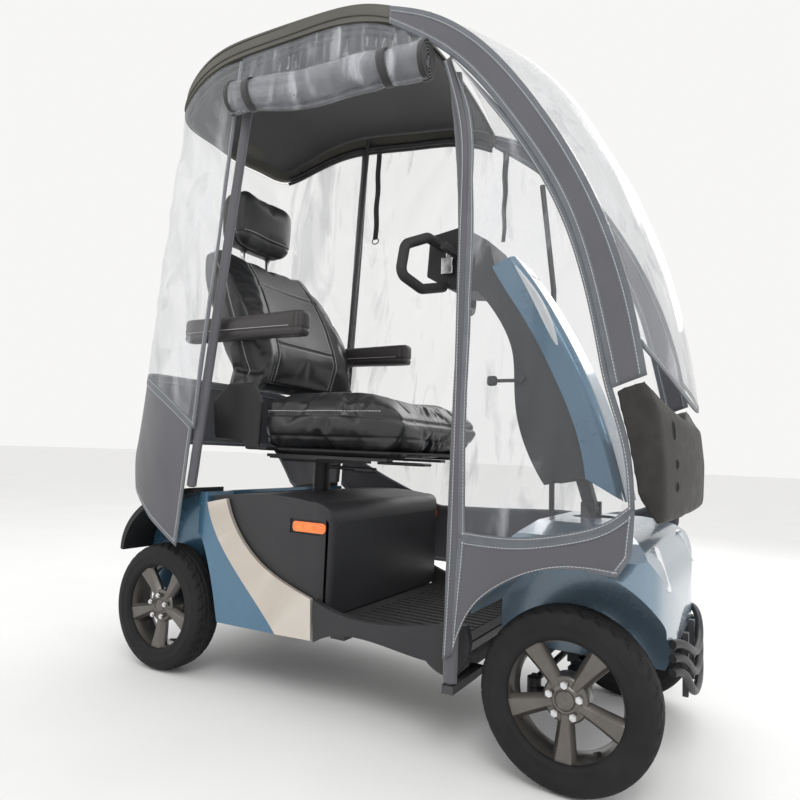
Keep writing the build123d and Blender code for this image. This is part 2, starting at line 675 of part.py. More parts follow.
def canopy_block(inset, front):
    """The closed solid inside the canopy's wall, narrowing to the roof."""
    faces = []
    for points, back, z in ((WALL_LOW, WALL_LOW_BACK, WALL_Z[0]), (WALL_HIGH, WALL_HIGH_BACK, WALL_Z[1])):
        plan = wall_points(points, back, inset)
        plan[0] = (front, plan[0][1])
        plan[-1] = (front, plan[-1][1])
        curve = Spline(*[(x, y, z) for x, y in plan])
        close = Line((front, plan[-1][1], z), (front, plan[0][1], z))
        faces.append(make_face([curve, close]))
    return loft(faces, ruled=True)


def roof_slab():
    """The crowned top sheet of the roof."""
    rows = []
    for n, (x, z) in enumerate(ROOF_EDGE):
        crown = ROOF_CROWN_REAR[n] if n < len(ROOF_CROWN_REAR) else ROOF_CROWN
        row = []
        for k in range(-3, 4):
            share = k / 3
            row.append(Vector(x, share * 340, z + ROOF_BAND + crown * (1 - share * share)))
        rows.append(row)
    return Face.make_surface_from_array_of_points(rows)


def screen_half_width(z):
    """Half the canopy's width at height z, less its wall, so the sheet ends inside the side strips."""
    return 352 - (z - WALL_Z[0]) / (WALL_Z[1] - WALL_Z[0]) * 26 - WALL_T - 1.2


def screen_sheet():
    """The crowned windscreen surface between the two side strips."""
    rows = []
    for k, (x, z) in enumerate(SCREEN_OUTER):
        ax, az = SCREEN_OUTER[max(k - 1, 0)]
        bx, bz = SCREEN_OUTER[min(k + 1, len(SCREEN_OUTER) - 1)]
        run = math.hypot(bx - ax, bz - az)
        nx, nz = (-(bz - az) / run, (bx - ax) / run) if k else (0, 1)
        row = []
        for j in range(-3, 4):
            share = j / 3
            out = SCREEN_BULGE[k] * (1 - share * share)
            row.append(Vector(x + nx * out, share * screen_half_width(z), z + nz * out))
        rows.append(row)
    return Face.make_surface_from_array_of_points(rows)


def nose_moulding():
    """The black moulding across the foot of the windscreen, bowed forward in the middle."""
    edge = [(632, 729), (684, 746), (706, 690), (716, 600), (718, 500), (704, 494), (672, 542), (654, 640)]
    mid = [(674, 684), (712, 696), (738, 678), (746, 600), (742, 510), (726, 498), (702, 545), (690, 640)]
    faces = []
    for y, points in ((-350, edge), (0, mid), (350, edge)):
        faces.append(make_face(Polyline(*[(x, y, z) for x, z in points], close=True)))
    return loft(faces)


def panels(wall, runs, right=True, left=True):
    """Cut one piece of canopy wall by its side outline."""
    y0 = -420 if right else 60
    y1 = 420 if left else -60
    return wall & prism(runs, y0, y1)


def canopy_poles():
    """Four uprights from the floor's edge to the roof."""
    poles = []
    for side in (-1, 1):
        front = [(x, side * y, z) for x, y, z in (FRONT_POLE, FRONT_POLE_KNEE, FRONT_POLE_TOP)]
        rear = [(x, side * y, z) for x, y, z in (REAR_POLE, REAR_POLE_TOP)]
        poles += [bent_tube(front, POLE_R, 60), rod(rear[0], rear[1], POLE_R)]
    return poles


def rolled_door():
    """The right-hand door, rolled up and tied under the roof's edge."""
    path = Line((-364, -334, 1546), (215, -334, 1462))
    return extrude(Plane(origin=path @ 0, z_dir=path % 0) * Circle(ROLL_R), amount=path.length)


def hanging_strap(x, y, z_top, z_low):
    """Flat webbing hanging from the roof's edge."""
    return block(x - 10, x + 10, y - 1.5, y + 1.5, z_low, z_top)


def make_canopy():
    outer = canopy_block(0, 760)
    wall = outer - canopy_block(WALL_T, 800)
    band_wall = outer - canopy_block(9, 800)
    edge = ROOF_EDGE
    band = [edge, [edge[-1], (edge[-1][0], edge[-1][1] + ROOF_BAND)],
            [(x, z + ROOF_BAND) for x, z in reversed(edge)]]
    roof_rim = (band_wall & prism(band, -420, 420)) & block(-760, ROOF_FRONT, -420, 420, 1400, 1800)
    slab = Solid.thicken(roof_slab(), -ROOF_T) & outer
    slab = slab & block(-760, ROOF_FRONT, -420, 420, 1400, 1800)
    write("canopy_roof", roof_rim + slab)
    screen = Solid.thicken(screen_sheet(), -WALL_T)
    nose = nose_moulding()
    write("windscreen", (screen & block(118, 800, -400, 400, 400, 1900)) - nose)
    strip = [SCREEN_OUTER[:-2] + [STRIP_END], [STRIP_END, SCREEN_INNER[-1]], list(reversed(SCREEN_INNER)),
             [SCREEN_INNER[0], SCREEN_OUTER[0]]]
    strips = panels(wall, strip)
    write("screen_strips", *strips.solids())
    write("nose_moulding", nose)
    inner_part = SCREEN_INNER[2:]
    clear = [[ZIP_LINE[0]] + inner_part[1:], [inner_part[-1], (650, 640)], [(650, 640), (668, 540)],
             [(668, 540), SKIRT_TOP[-1]], list(reversed(SKIRT_TOP)), list(reversed(ZIP_LINE))]
    write("front_panel_right", panels(wall, clear, left=False) - strips)
    skirt = [SKIRT_TOP, [SKIRT_TOP[-1], (664, 440)], [(664, 440), SKIRT_LOW[0]], SKIRT_LOW,
             [SKIRT_LOW[-1], (304, 197)], [(304, 197), (334, 320), SKIRT_TOP[0]]]
    top_left = [(REAR_EDGE_TOP[0] + 1, 1655), (-161, 1645), (-16, 1628), (87, 1598), (112, 1587)]
    full = [top_left, [top_left[-1], SCREEN_INNER[0]], SCREEN_INNER,
            [SCREEN_INNER[-1], (650, 640)], [(650, 640), (668, 540)], [(668, 540), SKIRT_TOP[-1]],
            list(reversed(SKIRT_TOP)), [SKIRT_TOP[0], (-41, 424)], [(-41, 424), (-424, 590)],
            [(-424, 590), (-411, 850), (-382, 1313), top_left[0]]]
    write("side_panel_left", panels(wall, full, right=False))
    left_skirt = [SKIRT_TOP, [SKIRT_TOP[-1], (664, 440)], [(664, 440), SKIRT_LOW[0]], SKIRT_LOW,
                  [SKIRT_LOW[-1], (304, 262)], [(304, 262), (-60, 262)], [(-60, 262), (-200, 330)],
                  [(-200, 330), (-428, 480)], [(-428, 480), (-424, 590)], [(-424, 590), (-41, 424)],
                  [(-41, 424), SKIRT_TOP[0]]]
    write("side_skirts", panels(wall, skirt, left=False), panels(wall, left_skirt, right=False))
    rear_clear = [[REAR_EDGE_TOP, (-384, 1313), (-414, 850), REAR_SEAM[-1]], list(reversed(REAR_SEAM)),
                  [REAR_SEAM[0], (-800, 1490)], [(-800, 1490), (-740, 1526)], [(-740, 1526), (-650, 1584)],
                  [(-650, 1584), (-550, 1630)], [(-550, 1630), (-433, 1656)], [(-433, 1656), REAR_EDGE_TOP]]
    write("rear_clear_panel", panels(wall, rear_clear))
    rear_skirt = [REAR_SEAM, [REAR_SEAM[-1], (-439, 336)], [(-439, 336), (-450, 334)],
                  [(-450, 334), (-560, 400), (-647, 469), (-706, 596)], [(-706, 596), (-800, 604)],
                  [(-800, 604), REAR_SEAM[0]]]
    write("rear_skirt", panels(wall, rear_skirt))
    write("canopy_poles", *canopy_poles())
    write("rolled_door", rolled_door())
    write("hanging_straps", hanging_strap(-300, 294, 1655, 1330), hanging_strap(166, 306, 1560, 1262))


make_wheels()
make_steering()
make_chassis()
make_body()
make_tiller()
make_seat()
make_canopy()
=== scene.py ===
import json
import math

import bmesh
import bpy
import numpy as np
from mathutils import Matrix, Vector, noise


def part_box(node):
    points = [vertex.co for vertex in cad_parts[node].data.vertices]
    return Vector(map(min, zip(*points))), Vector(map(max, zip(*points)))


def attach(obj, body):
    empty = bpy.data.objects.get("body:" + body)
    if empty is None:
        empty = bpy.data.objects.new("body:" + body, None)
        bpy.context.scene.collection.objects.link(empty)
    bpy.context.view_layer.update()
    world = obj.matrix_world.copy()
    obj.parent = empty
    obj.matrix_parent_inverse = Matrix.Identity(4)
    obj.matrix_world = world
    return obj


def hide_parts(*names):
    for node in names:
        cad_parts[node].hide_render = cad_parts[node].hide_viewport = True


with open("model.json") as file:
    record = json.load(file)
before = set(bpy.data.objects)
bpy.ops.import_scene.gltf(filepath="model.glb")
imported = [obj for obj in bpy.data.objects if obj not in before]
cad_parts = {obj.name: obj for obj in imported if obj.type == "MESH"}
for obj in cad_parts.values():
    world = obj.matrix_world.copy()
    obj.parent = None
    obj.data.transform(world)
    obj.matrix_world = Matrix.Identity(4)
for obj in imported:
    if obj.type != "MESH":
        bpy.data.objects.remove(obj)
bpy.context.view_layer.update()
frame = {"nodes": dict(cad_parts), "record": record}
NODES = frame["nodes"]


# Camera, light and floor

def camera():
    az, el, roll = math.radians(30.16), math.radians(-4.72), math.radians(2.31)
    back = Vector((math.sin(az) * math.cos(el), -math.cos(az) * math.cos(el), math.sin(el)))
    right = Vector((math.cos(az), math.sin(az), 0))
    up = back.cross(right)
    right2 = right * math.cos(roll) + up * math.sin(roll)
    up2 = -right * math.sin(roll) + up * math.cos(roll)
    data = bpy.data.cameras.new("photo_camera")
    data.sensor_width = 36
    data.lens = 28.23
    cam = bpy.data.objects.new("photo_camera", data)
    bpy.context.scene.collection.objects.link(cam)
    m = Matrix((right2, up2, back)).transposed().to_4x4()
    m.translation = Vector((0.85945, -1.4872, 0.60253))
    cam.matrix_world = m
    bpy.context.scene.camera = cam


def area_light(name, place, target, size, power):
    data = bpy.data.lights.new(name, "AREA")
    data.size = size
    data.energy = power
    lamp = bpy.data.objects.new(name, data)
    bpy.context.scene.collection.objects.link(lamp)
    lamp.location = place
    lamp.rotation_euler = (Vector(target) - Vector(place)).to_track_quat("-Z", "Y").to_euler()


def studio():
    scene = bpy.context.scene
    world = bpy.data.worlds.new("studio")
    scene.world = world
    world.use_nodes = True
    sky = world.node_tree.nodes["Background"]
    sky.inputs["Color"].default_value = (1, 0.995, 0.985, 1)
    sky.inputs["Strength"].default_value = 0.93
    scene.view_settings.view_transform = "Standard"
    area_light("key", (1.6, -2.6, 3.2), (0, 0, 0.7), 1.6, 48)
    area_light("fill", (-2.8, -2.2, 1.8), (0, 0, 0.7), 2.2, 16)
    area_light("rim", (0.2, 3.0, 2.6), (0, 0, 0.9), 2.0, 34)
    area_light("front", (3.4, -0.2, 1.4), (0.4, 0, 0.7), 1.4, 16)


# Materials

def link(tree, a, b):
    tree.links.new(a, b)


def grain_height(tree, coords, kind, scale):
    """The height pattern of a surface's grain, by kind."""
    nodes = tree.nodes
    if kind == "pebble":
        cell = nodes.new("ShaderNodeTexVoronoi")
        cell.feature = "SMOOTH_F1"
        cell.inputs["Scale"].default_value = scale
        link(tree, coords, cell.inputs["Vector"])
        return cell.outputs["Distance"]
    if kind == "weave":
        waves = []
        for direction in ("X", "Z"):
            wave = nodes.new("ShaderNodeTexWave")
            wave.bands_direction = direction
            wave.inputs["Scale"].default_value = scale
            wave.inputs["Distortion"].default_value = 0.6
            link(tree, coords, wave.inputs["Vector"])
            waves.append(wave.outputs["Fac"])
        both = nodes.new("ShaderNodeMath")
        both.operation = "ADD"
        link(tree, waves[0], both.inputs[0])
        link(tree, waves[1], both.inputs[1])
        return both.outputs[0]
    if kind == "ribs":
        wave = nodes.new("ShaderNodeTexWave")
        wave.bands_direction = "Z"
        wave.inputs["Scale"].default_value = scale
        link(tree, coords, wave.inputs["Vector"])
        return wave.outputs["Fac"]
    fine = nodes.new("ShaderNodeTexNoise")
    fine.inputs["Scale"].default_value = scale
    fine.inputs["Detail"].default_value = 4
    link(tree, coords, fine.inputs["Vector"])
    return fine.outputs["Fac"]


def material(name, color, second=None, patch=9, rough=(0.4, 0.6), metallic=0, grain=("noise", 500), bump=0.15,
             depth=0.0004, coat=0, sheen=0, specular=0.5, wear=None, stretch=None, fleck=0):
    """A procedural surface: drifting colour, uneven roughness, a grain, and paler worn edges where asked."""
    mat = bpy.data.materials.new(name)
    mat.use_nodes = True
    tree = mat.node_tree
    nodes = tree.nodes
    shader = nodes["Principled BSDF"]
    coords = nodes.new("ShaderNodeTexCoord").outputs["Object"]
    drift = nodes.new("ShaderNodeTexNoise")
    drift.inputs["Scale"].default_value = patch
    drift.inputs["Detail"].default_value = 5
    drift.inputs["Roughness"].default_value = 0.62
    link(tree, coords, drift.inputs["Vector"])
    mix = nodes.new("ShaderNodeMix")
    mix.data_type = "RGBA"
    second = second or tuple(min(1, c * 1.35 + 0.004) for c in color)
    mix.inputs[6].default_value = (*color, 1)
    mix.inputs[7].default_value = (*second, 1)
    ramp = nodes.new("ShaderNodeMapRange")
    ramp.inputs["From Min"].default_value = 0.35
    ramp.inputs["From Max"].default_value = 0.7
    link(tree, drift.outputs["Fac"], ramp.inputs["Value"])
    link(tree, ramp.outputs["Result"], mix.inputs[0])
    tone = mix.outputs[2]
    if fleck:
        spots = nodes.new("ShaderNodeTexVoronoi")
        spots.inputs["Scale"].default_value = 900
        link(tree, coords, spots.inputs["Vector"])
        glitter = nodes.new("ShaderNodeMix")
        glitter.data_type = "RGBA"
        glitter.blend_type = "OVERLAY"
        glitter.inputs[0].default_value = fleck
        link(tree, tone, glitter.inputs[6])
        link(tree, spots.outputs["Color"], glitter.inputs[7])
        tone = glitter.outputs[2]
    if wear:
        edge = nodes.new("ShaderNodeNewGeometry")
        reach = nodes.new("ShaderNodeMapRange")
        reach.inputs["From Min"].default_value = 0.53
        reach.inputs["From Max"].default_value = 0.62
        reach.inputs["To Max"].default_value = 0.55
        link(tree, edge.outputs["Pointiness"], reach.inputs["Value"])
        worn = nodes.new("ShaderNodeMix")
        worn.data_type = "RGBA"
        worn.inputs[7].default_value = (*wear, 1)
        link(tree, reach.outputs["Result"], worn.inputs[0])
        link(tree, tone, worn.inputs[6])
        tone = worn.outputs[2]
    link(tree, tone, shader.inputs["Base Color"])
    gloss = nodes.new("ShaderNodeMapRange")
    gloss.inputs["From Min"].default_value = 0.3
    gloss.inputs["From Max"].default_value = 0.75
    gloss.inputs["To Min"].default_value = rough[0]
    gloss.inputs["To Max"].default_value = rough[1]
    link(tree, drift.outputs["Fac"], gloss.inputs["Value"])
    link(tree, gloss.outputs["Result"], shader.inputs["Roughness"])
    place = coords
    if stretch:
        mapping = nodes.new("ShaderNodeMapping")
        mapping.inputs["Scale"].default_value = stretch
        link(tree, coords, mapping.inputs["Vector"])
        place = mapping.outputs["Vector"]
    relief = nodes.new("ShaderNodeBump")
    relief.inputs["Strength"].default_value = bump
    relief.inputs["Distance"].default_value = depth
    link(tree, grain_height(tree, place, *grain), relief.inputs["Height"])
    link(tree, relief.outputs["Normal"], shader.inputs["Normal"])
    shader.inputs["Metallic"].default_value = metallic
    shader.inputs["Coat Weight"].default_value = coat
    shader.inputs["Coat Roughness"].default_value = 0.08
    shader.inputs["Sheen Weight"].default_value = sheen
    shader.inputs["Specular IOR Level"].default_value = specular
    return mat


def film_material(name, tint, low, high, streak_scale):
    """Clear flexible film: nearly unseen face on; paler and more opaque on its creases, partly haze and partly
    painted highlight; more opaque towards its outline, where it is seen at grazing angles, as a painted reflection.
    """
    mat = bpy.data.materials.new(name)
    mat.use_nodes = True
    tree = mat.node_tree
    nodes = tree.nodes
    shader = nodes["Principled BSDF"]
    coords = nodes.new("ShaderNodeTexCoord").outputs["Object"]
    mapping = nodes.new("ShaderNodeMapping")
    mapping.inputs["Scale"].default_value = (1.0, 1.0, 0.3)
    link(tree, coords, mapping.inputs["Vector"])
    streak = nodes.new("ShaderNodeTexNoise")
    streak.inputs["Scale"].default_value = streak_scale
    streak.inputs["Detail"].default_value = 6
    streak.inputs["Distortion"].default_value = 1.4
    link(tree, mapping.outputs["Vector"], streak.inputs["Vector"])
    crease = nodes.new("ShaderNodeMapRange")
    crease.inputs["From Min"].default_value = 0.56
    crease.inputs["From Max"].default_value = 0.72
    crease.inputs["To Max"].default_value = high - low
    link(tree, streak.outputs["Fac"], crease.inputs["Value"])
    # Painted reflection: opacity rises where the film is seen at grazing angles, standing in for its Fresnel
    # reflection.
    facing = nodes.new("ShaderNodeLayerWeight")
    facing.inputs["Blend"].default_value = 0.35
    rim = nodes.new("ShaderNodeMath")
    rim.operation = "MULTIPLY"
    rim.inputs[1].default_value = 0.22
    link(tree, facing.outputs["Facing"], rim.inputs[0])
    total = nodes.new("ShaderNodeMath")
    total.operation = "ADD"
    link(tree, crease.outputs["Result"], total.inputs[0])
    link(tree, rim.outputs[0], total.inputs[1])
    seen = nodes.new("ShaderNodeMath")
    seen.operation = "ADD"
    seen.use_clamp = True
    seen.inputs[1].default_value = low
    link(tree, total.outputs[0], seen.inputs[0])
    link(tree, seen.outputs[0], shader.inputs["Alpha"])
    # Colour runs from tint to near-white along the streaks, where opacity is raised: partly haze in the creases,
    # partly painted highlight.
    tone = nodes.new("ShaderNodeMix")
    tone.data_type = "RGBA"
    tone.inputs[6].default_value = (*tint, 1)
    tone.inputs[7].default_value = (0.78, 0.8, 0.84, 1)
    link(tree, streak.outputs["Fac"], tone.inputs[0])
    link(tree, tone.outputs[2], shader.inputs["Base Color"])
    relief = nodes.new("ShaderNodeBump")
    relief.inputs["Strength"].default_value = 0.5
    relief.inputs["Distance"].default_value = 0.006
    link(tree, streak.outputs["Fac"], relief.inputs["Height"])
    link(tree, relief.outputs["Normal"], shader.inputs["Normal"])
    shader.inputs["Roughness"].default_value = 0.07
    shader.inputs["Specular IOR Level"].default_value = 0.9
    shader.inputs["Coat Weight"].default_value = 0.6
    return mat


M = {
    "tyre": material("tyre_rubber", (0.012, 0.012, 0.013), (0.022, 0.021, 0.021), 14, (0.62, 0.8), 0,
                     ("noise", 900), 0.25, 0.0004, specular=0.2),
    "alloy": material("gunmetal_alloy", (0.115, 0.106, 0.098), (0.15, 0.139, 0.128), 12, (0.3, 0.42), 0.75,
                      ("noise", 1400), 0.1, 0.0002, coat=0.25, wear=(0.3, 0.28, 0.26), fleck=0.12),
    "nut": material("nut_chrome", (0.62, 0.62, 0.62), (0.75, 0.75, 0.76), 60, (0.12, 0.25), 1,
                    ("noise", 900), 0.1,
                    0.0001),
    "steel_black": material("black_powder_coat", (0.016, 0.016, 0.018), None, 20, (0.38, 0.55), 0.2,
                            ("noise", 1100), 0.25, 0.0003, wear=(0.08, 0.08, 0.085)),
    "machine": material("painted_casting", (0.035, 0.035, 0.038), None, 30, (0.5, 0.7), 0.4, ("noise", 300),
                        0.4,
                        0.0008),
    "battery": material("battery_case", (0.03, 0.03, 0.033), None, 25, (0.5, 0.65), 0, ("pebble", 700), 0.25),
    "body_blue": material("metallic_blue", (0.052, 0.135, 0.215), (0.066, 0.16, 0.25), 5, (0.24, 0.34), 0.45,
                          ("noise", 1600), 0.05, 0.0001, coat=0.7, fleck=0.1),
    "cowl_blue": material("metallic_pale_blue", (0.15, 0.22, 0.285), (0.18, 0.25, 0.315), 5, (0.24, 0.34),
                          0.45,
                          ("noise", 1600), 0.05, 0.0001, coat=0.7, fleck=0.1),
    "trim": material("champagne_trim", (0.44, 0.385, 0.33), (0.5, 0.44, 0.38), 6, (0.28, 0.4), 0.4,
                     ("noise", 1500),
                     0.06, 0.0001, coat=0.4, fleck=0.08, wear=(0.7, 0.66, 0.6)),
    "charcoal": material("charcoal_plastic", (0.026, 0.026, 0.029), (0.034, 0.034, 0.037), 8, (0.42, 0.55), 0,
                         ("noise", 1500), 0.3, 0.0003, specular=0.35),
    "black_plastic": material("black_plastic", (0.012, 0.012, 0.013), (0.02, 0.02, 0.021), 12, (0.45, 0.6), 0,
                              ("noise", 1300), 0.35, 0.0003, specular=0.32),
    "mat_rubber": material("moulded_rubber", (0.014, 0.014, 0.015), (0.024, 0.023, 0.023), 16, (0.6, 0.8), 0,
                           ("noise", 700), 0.3, 0.0005),
    "reflector": material("orange_lens", (0.9, 0.16, 0.015), (1.0, 0.25, 0.03), 60, (0.12, 0.2), 0,
                          ("weave", 70), 0.5, 0.0008, coat=0.8),
    "lamp": material("silver_lamp", (0.72, 0.74, 0.77), (0.9, 0.92, 0.95), 80, (0.12, 0.22), 0.5,
                     ("ribs", 45), 0.5,
                     0.001, coat=1.0),
    "roof": material("olive_roof", (0.062, 0.06, 0.05), (0.085, 0.083, 0.072), 6, (0.5, 0.68), 0,
                     ("pebble", 420),
                     0.45, 0.0007, specular=0.35, wear=(0.12, 0.115, 0.1)),
    "canopy_fabric": material("grey_canopy_cloth", (0.072, 0.072, 0.084), (0.094, 0.093, 0.106), 5,
                              (0.55, 0.72), 0,
                              ("weave", 330), 0.35, 0.0005, sheen=0.25),
    "binding": material("grey_binding", (0.1, 0.11, 0.125), (0.13, 0.14, 0.155), 30, (0.6, 0.75), 0,
                        ("weave", 420), 0.4,
                        0.0005, sheen=0.2),
    "thread": material("pale_thread", (0.42, 0.43, 0.45), (0.55, 0.55, 0.56), 200, (0.5, 0.6), 0,
                       ("noise", 2500),
                       0.3, 0.0001, sheen=0.3),
    "strap": material("black_webbing", (0.011, 0.011, 0.012), (0.02, 0.02, 0.021), 40, (0.6, 0.8), 0,
                      ("weave", 260), 0.6, 0.0006, sheen=0.25),
    "headliner": material("dark_headliner", (0.035, 0.035, 0.037), (0.046, 0.045, 0.046), 4, (0.7, 0.85), 0,
                          ("weave", 300), 0.3, 0.0004, sheen=0.3),
    "leather": material("black_leatherette", (0.0125, 0.013, 0.0145), (0.02, 0.0205, 0.022), 7,
                        (0.34, 0.48), 0,
                        ("noise", 1200), 0.24, 0.0003, specular=0.55, wear=(0.045, 0.045, 0.05)),
    "arm_pad": material("charcoal_leatherette", (0.022, 0.019, 0.019), (0.03, 0.026, 0.026), 9,
                        (0.42, 0.55), 0,
                        ("noise", 1100), 0.24, 0.0003, wear=(0.06, 0.055, 0.055)),
    "nose_grain": material("nose_grain", (0.013, 0.0125, 0.012), (0.03, 0.027, 0.025), 30, (0.5, 0.7), 0,
                           ("pebble", 420), 0.6, 0.0008, specular=0.35),
    # Near-black fill for the nose's holes: painted shade of their insides.
    "hole_shade_painted": material("hole_shade_painted", (0.003, 0.003, 0.003), (0.006, 0.006, 0.006), 80, (0.7, 0.9), 0,
                          ("noise", 900), 0.2, 0.0002, specular=0.1),
    "bright": material("plated_steel", (0.55, 0.55, 0.56), (0.68, 0.68, 0.69), 50, (0.18, 0.32), 1,
                       ("noise", 800),
                       0.1, 0.0001),
    "pale_insert": material("pale_grey_insert", (0.5, 0.52, 0.54), (0.58, 0.6, 0.62), 12, (0.3, 0.42), 0.2,
                            ("noise", 1200), 0.1, 0.0002, coat=0.4),
    "clear_pvc": film_material("clear_film", (0.3, 0.32, 0.35), 0.045, 0.26, 9),
    # Rolled film: dark blue-grey tint with near-white crease streaks at up to 0.55 opacity; the near-white streaks
    # are painted highlights.
    "roll_pvc": film_material("rolled_film", (0.07, 0.075, 0.11), 0.1, 0.55, 13),
}


def dress_nodes():
    """Gives every CAD node the detailed material of its record slot."""
    for row in frame["record"]["subparts"]:
        o = NODES[row["node"]]
        mat = M[row["material_slot"]]
        for k in range(max(1, len(o.material_slots))):
            if len(o.material_slots) <= k:
                o.data.materials.append(mat)
            o.material_slots[k].material = mat


def repaint(node, mat):
    for s in NODES[node].material_slots:
        s.material = M[mat]


# Mesh helpers

def piece(name, verts, faces, body, mat, slot=None, replaces=(), solid=0, offset=0, sub=0, bevel=0,
          smooth=True):
    mesh = bpy.data.meshes.new(name)
    mesh.from_pydata([tuple(v) for v in verts], [], [tuple(f) for f in faces])
    mesh.update()
    bm = bmesh.new()
    bm.from_mesh(mesh)
    bmesh.ops.recalc_face_normals(bm, faces=bm.faces)
    bm.to_mesh(mesh)
    bm.free()
    o = bpy.data.objects.new(name, mesh)
    bpy.context.scene.collection.objects.link(o)
    mesh.materials.append(M[mat])
    if smooth:
        mesh.shade_smooth()
    if solid:
        m = o.modifiers.new("thickness", "SOLIDIFY")
        m.thickness = solid
        m.offset = offset
    if bevel:
        m = o.modifiers.new("edge", "BEVEL")
        m.width = bevel
        m.segments = 2
        m.limit_method = "ANGLE"
    if sub:
        m = o.modifiers.new("smooth", "SUBSURF")
        m.levels = sub
        m.render_levels = sub
    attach(o, body)
    if replaces:
        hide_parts(*replaces)
    return o


def grid_faces(rows, cols, wrap_rows=False, wrap_cols=False):
    faces = []
    for i in range(rows if wrap_rows else rows - 1):
        for j in range(cols if wrap_cols else cols - 1):
            a, b = i * cols + j, i * cols + (j + 1) % cols
            c, d = ((i + 1) % rows) * cols + (j + 1) % cols, ((i + 1) % rows) * cols + j
            faces.append((a, b, c, d))
    return faces


def spline(points):
    """A natural cubic through the points, by chord length. Returns f(t) for t from 0 to 1."""
    p = np.array(points, float)
    h = np.linalg.norm(np.diff(p, axis=0), axis=1)
    s = np.concatenate([[0], np.cumsum(h)])
    n = len(p)
    a = np.zeros((n, n))
    r = np.zeros_like(p)
    a[0, 0] = a[-1, -1] = 1
    for i in range(1, n - 1):
        a[i, i - 1], a[i, i], a[i, i + 1] = h[i - 1], 2 * (h[i - 1] + h[i]), h[i]
        r[i] = 6 * ((p[i + 1] - p[i]) / h[i] - (p[i] - p[i - 1]) / h[i - 1])
    m = np.linalg.solve(a, r)

    def at(t):
        q = min(max(t, 0), 1) * s[-1]
        i = min(max(int(np.searchsorted(s, q)) - 1, 0), n - 2)
        u, v = s[i + 1] - q, q - s[i]
        return (m[i] * u ** 3 + m[i + 1] * v ** 3) / (6 * h[i]) + (p[i] / h[i] - m[i] * h[i] / 6) * u \
            + (p[i + 1] / h[i] - m[i + 1] * h[i] / 6) * v
    return at


def polyline(points):
    p = np.array(points, float)
    s = np.concatenate([[0], np.cumsum(np.linalg.norm(np.diff(p, axis=0), axis=1))])
    return lambda t: np.array([np.interp(t * s[-1], s, p[:, k]) for k in range(p.shape[1])])


def sample(curve, n):
    return np.array([curve(k / (n - 1)) for k in range(n)])


def tube_mesh(points, r, sides=12, closed=False):
    """Vertices and faces of a round tube along the points; r is a number or one per point."""
    p = np.array(points, float)
    n = len(p)
    radii = np.full(n, r) if np.isscalar(r) else np.array(r, float)
    tangents = np.gradient(p, axis=0) if not closed else np.roll(p, -1, 0) - np.roll(p, 1, 0)
    tangents /= np.linalg.norm(tangents, axis=1)[:, None]
    side = np.cross(tangents[0], (0, 0, 1) if abs(tangents[0][2]) < 0.9 else (1, 0, 0))
    verts = []
    for k in range(n):
        side = side - tangents[k] * side.dot(tangents[k])
        side /= np.linalg.norm(side)
        other = np.cross(tangents[k], side)
        for j in range(sides):
            a = 2 * math.pi * j / sides
            verts.append(p[k] + radii[k] * (math.cos(a) * side + math.sin(a) * other))
    faces = grid_faces(n, sides, closed, True)
    if not closed:
        faces.append(tuple(range(sides - 1, -1, -1)))
        faces.append(tuple(range((n - 1) * sides, n * sides)))
    return verts, faces


def tube(name, points, r, body, mat, closed=False, **kw):
    verts, faces = tube_mesh(points, r, closed=closed)
    return piece(name, verts, faces, body, mat, **kw)


def ribbon(name, points, inward, normals, width, thick, body, mat, start=-0.0008, closed=False, **kw):
    """A tape along the points, from start to width on the inward side, with rounded edges."""
    verts = []
    shape = ((start, -0.5), (start, 0.5), (start + 0.15 * width, 0.62), (width * 0.85, 0.62), (width, 0.4),
             (width, -0.4), (width * 0.85, -0.62), (start + 0.15 * width, -0.62))
    for p, i, n in zip(points, inward, normals):
        for w, h in shape:
            verts.append(np.array(p) + np.array(i) * w + np.array(n) * h * thick)
    faces = grid_faces(len(points), len(shape), closed, True)
    if not closed:
        faces.append(tuple(range(len(shape) - 1, -1, -1)))
        faces.append(tuple(range((len(points) - 1) * len(shape), len(points) * len(shape))))
    return piece(name, verts, faces, body, mat, **kw)


def stitch_mesh(points, normals, pitch, length, r):
    """Short rounded stitches along a line, each lying on the surface."""
    p, nrm = np.array(points, float), np.array(normals, float)
    s = np.concatenate([[0], np.cumsum(np.linalg.norm(np.diff(p, axis=0), axis=1))])
    verts, faces = [], []
    at = pitch
    while at < s[-1] - pitch:
        a = np.array([np.interp(at, s, p[:, k]) for k in range(3)])
        b = np.array([np.interp(at + length, s, p[:, k]) for k in range(3)])
        n = np.array([np.interp(at, s, nrm[:, k]) for k in range(3)])
        n /= np.linalg.norm(n) + 1e-12
        d = (b - a) / (np.linalg.norm(b - a) + 1e-12)
        w = np.cross(n, d)
        base = len(verts)
        for q, scale in ((a - d * r, 0.4), (a + d * r, 1.0), (b - d * r, 1.0), (b + d * r, 0.4)):
            for u, v in ((-1, 0), (-0.5, 0.8), (0.5, 0.8), (1, 0), (0, -0.8)):
                verts.append(q + (w * u + n * v) * r * scale)
        for k in range(3):
            for j in range(5):
                a0, b0 = base + k * 5 + j, base + k * 5 + (j + 1) % 5
                faces.append((a0, b0, b0 + 5, a0 + 5))
        faces.append(tuple(base + j for j in (4, 3, 2, 1, 0)))
        faces.append(tuple(base + 15 + j for j in range(5)))
        at += pitch
    return verts, faces


def join_meshes(parts):
    verts, faces = [], []
    for v, f in parts:
        base = len(verts)
        verts.extend(v)
        faces.extend(tuple(i + base for i in face) for face in f)
    return verts, faces


# Canopy

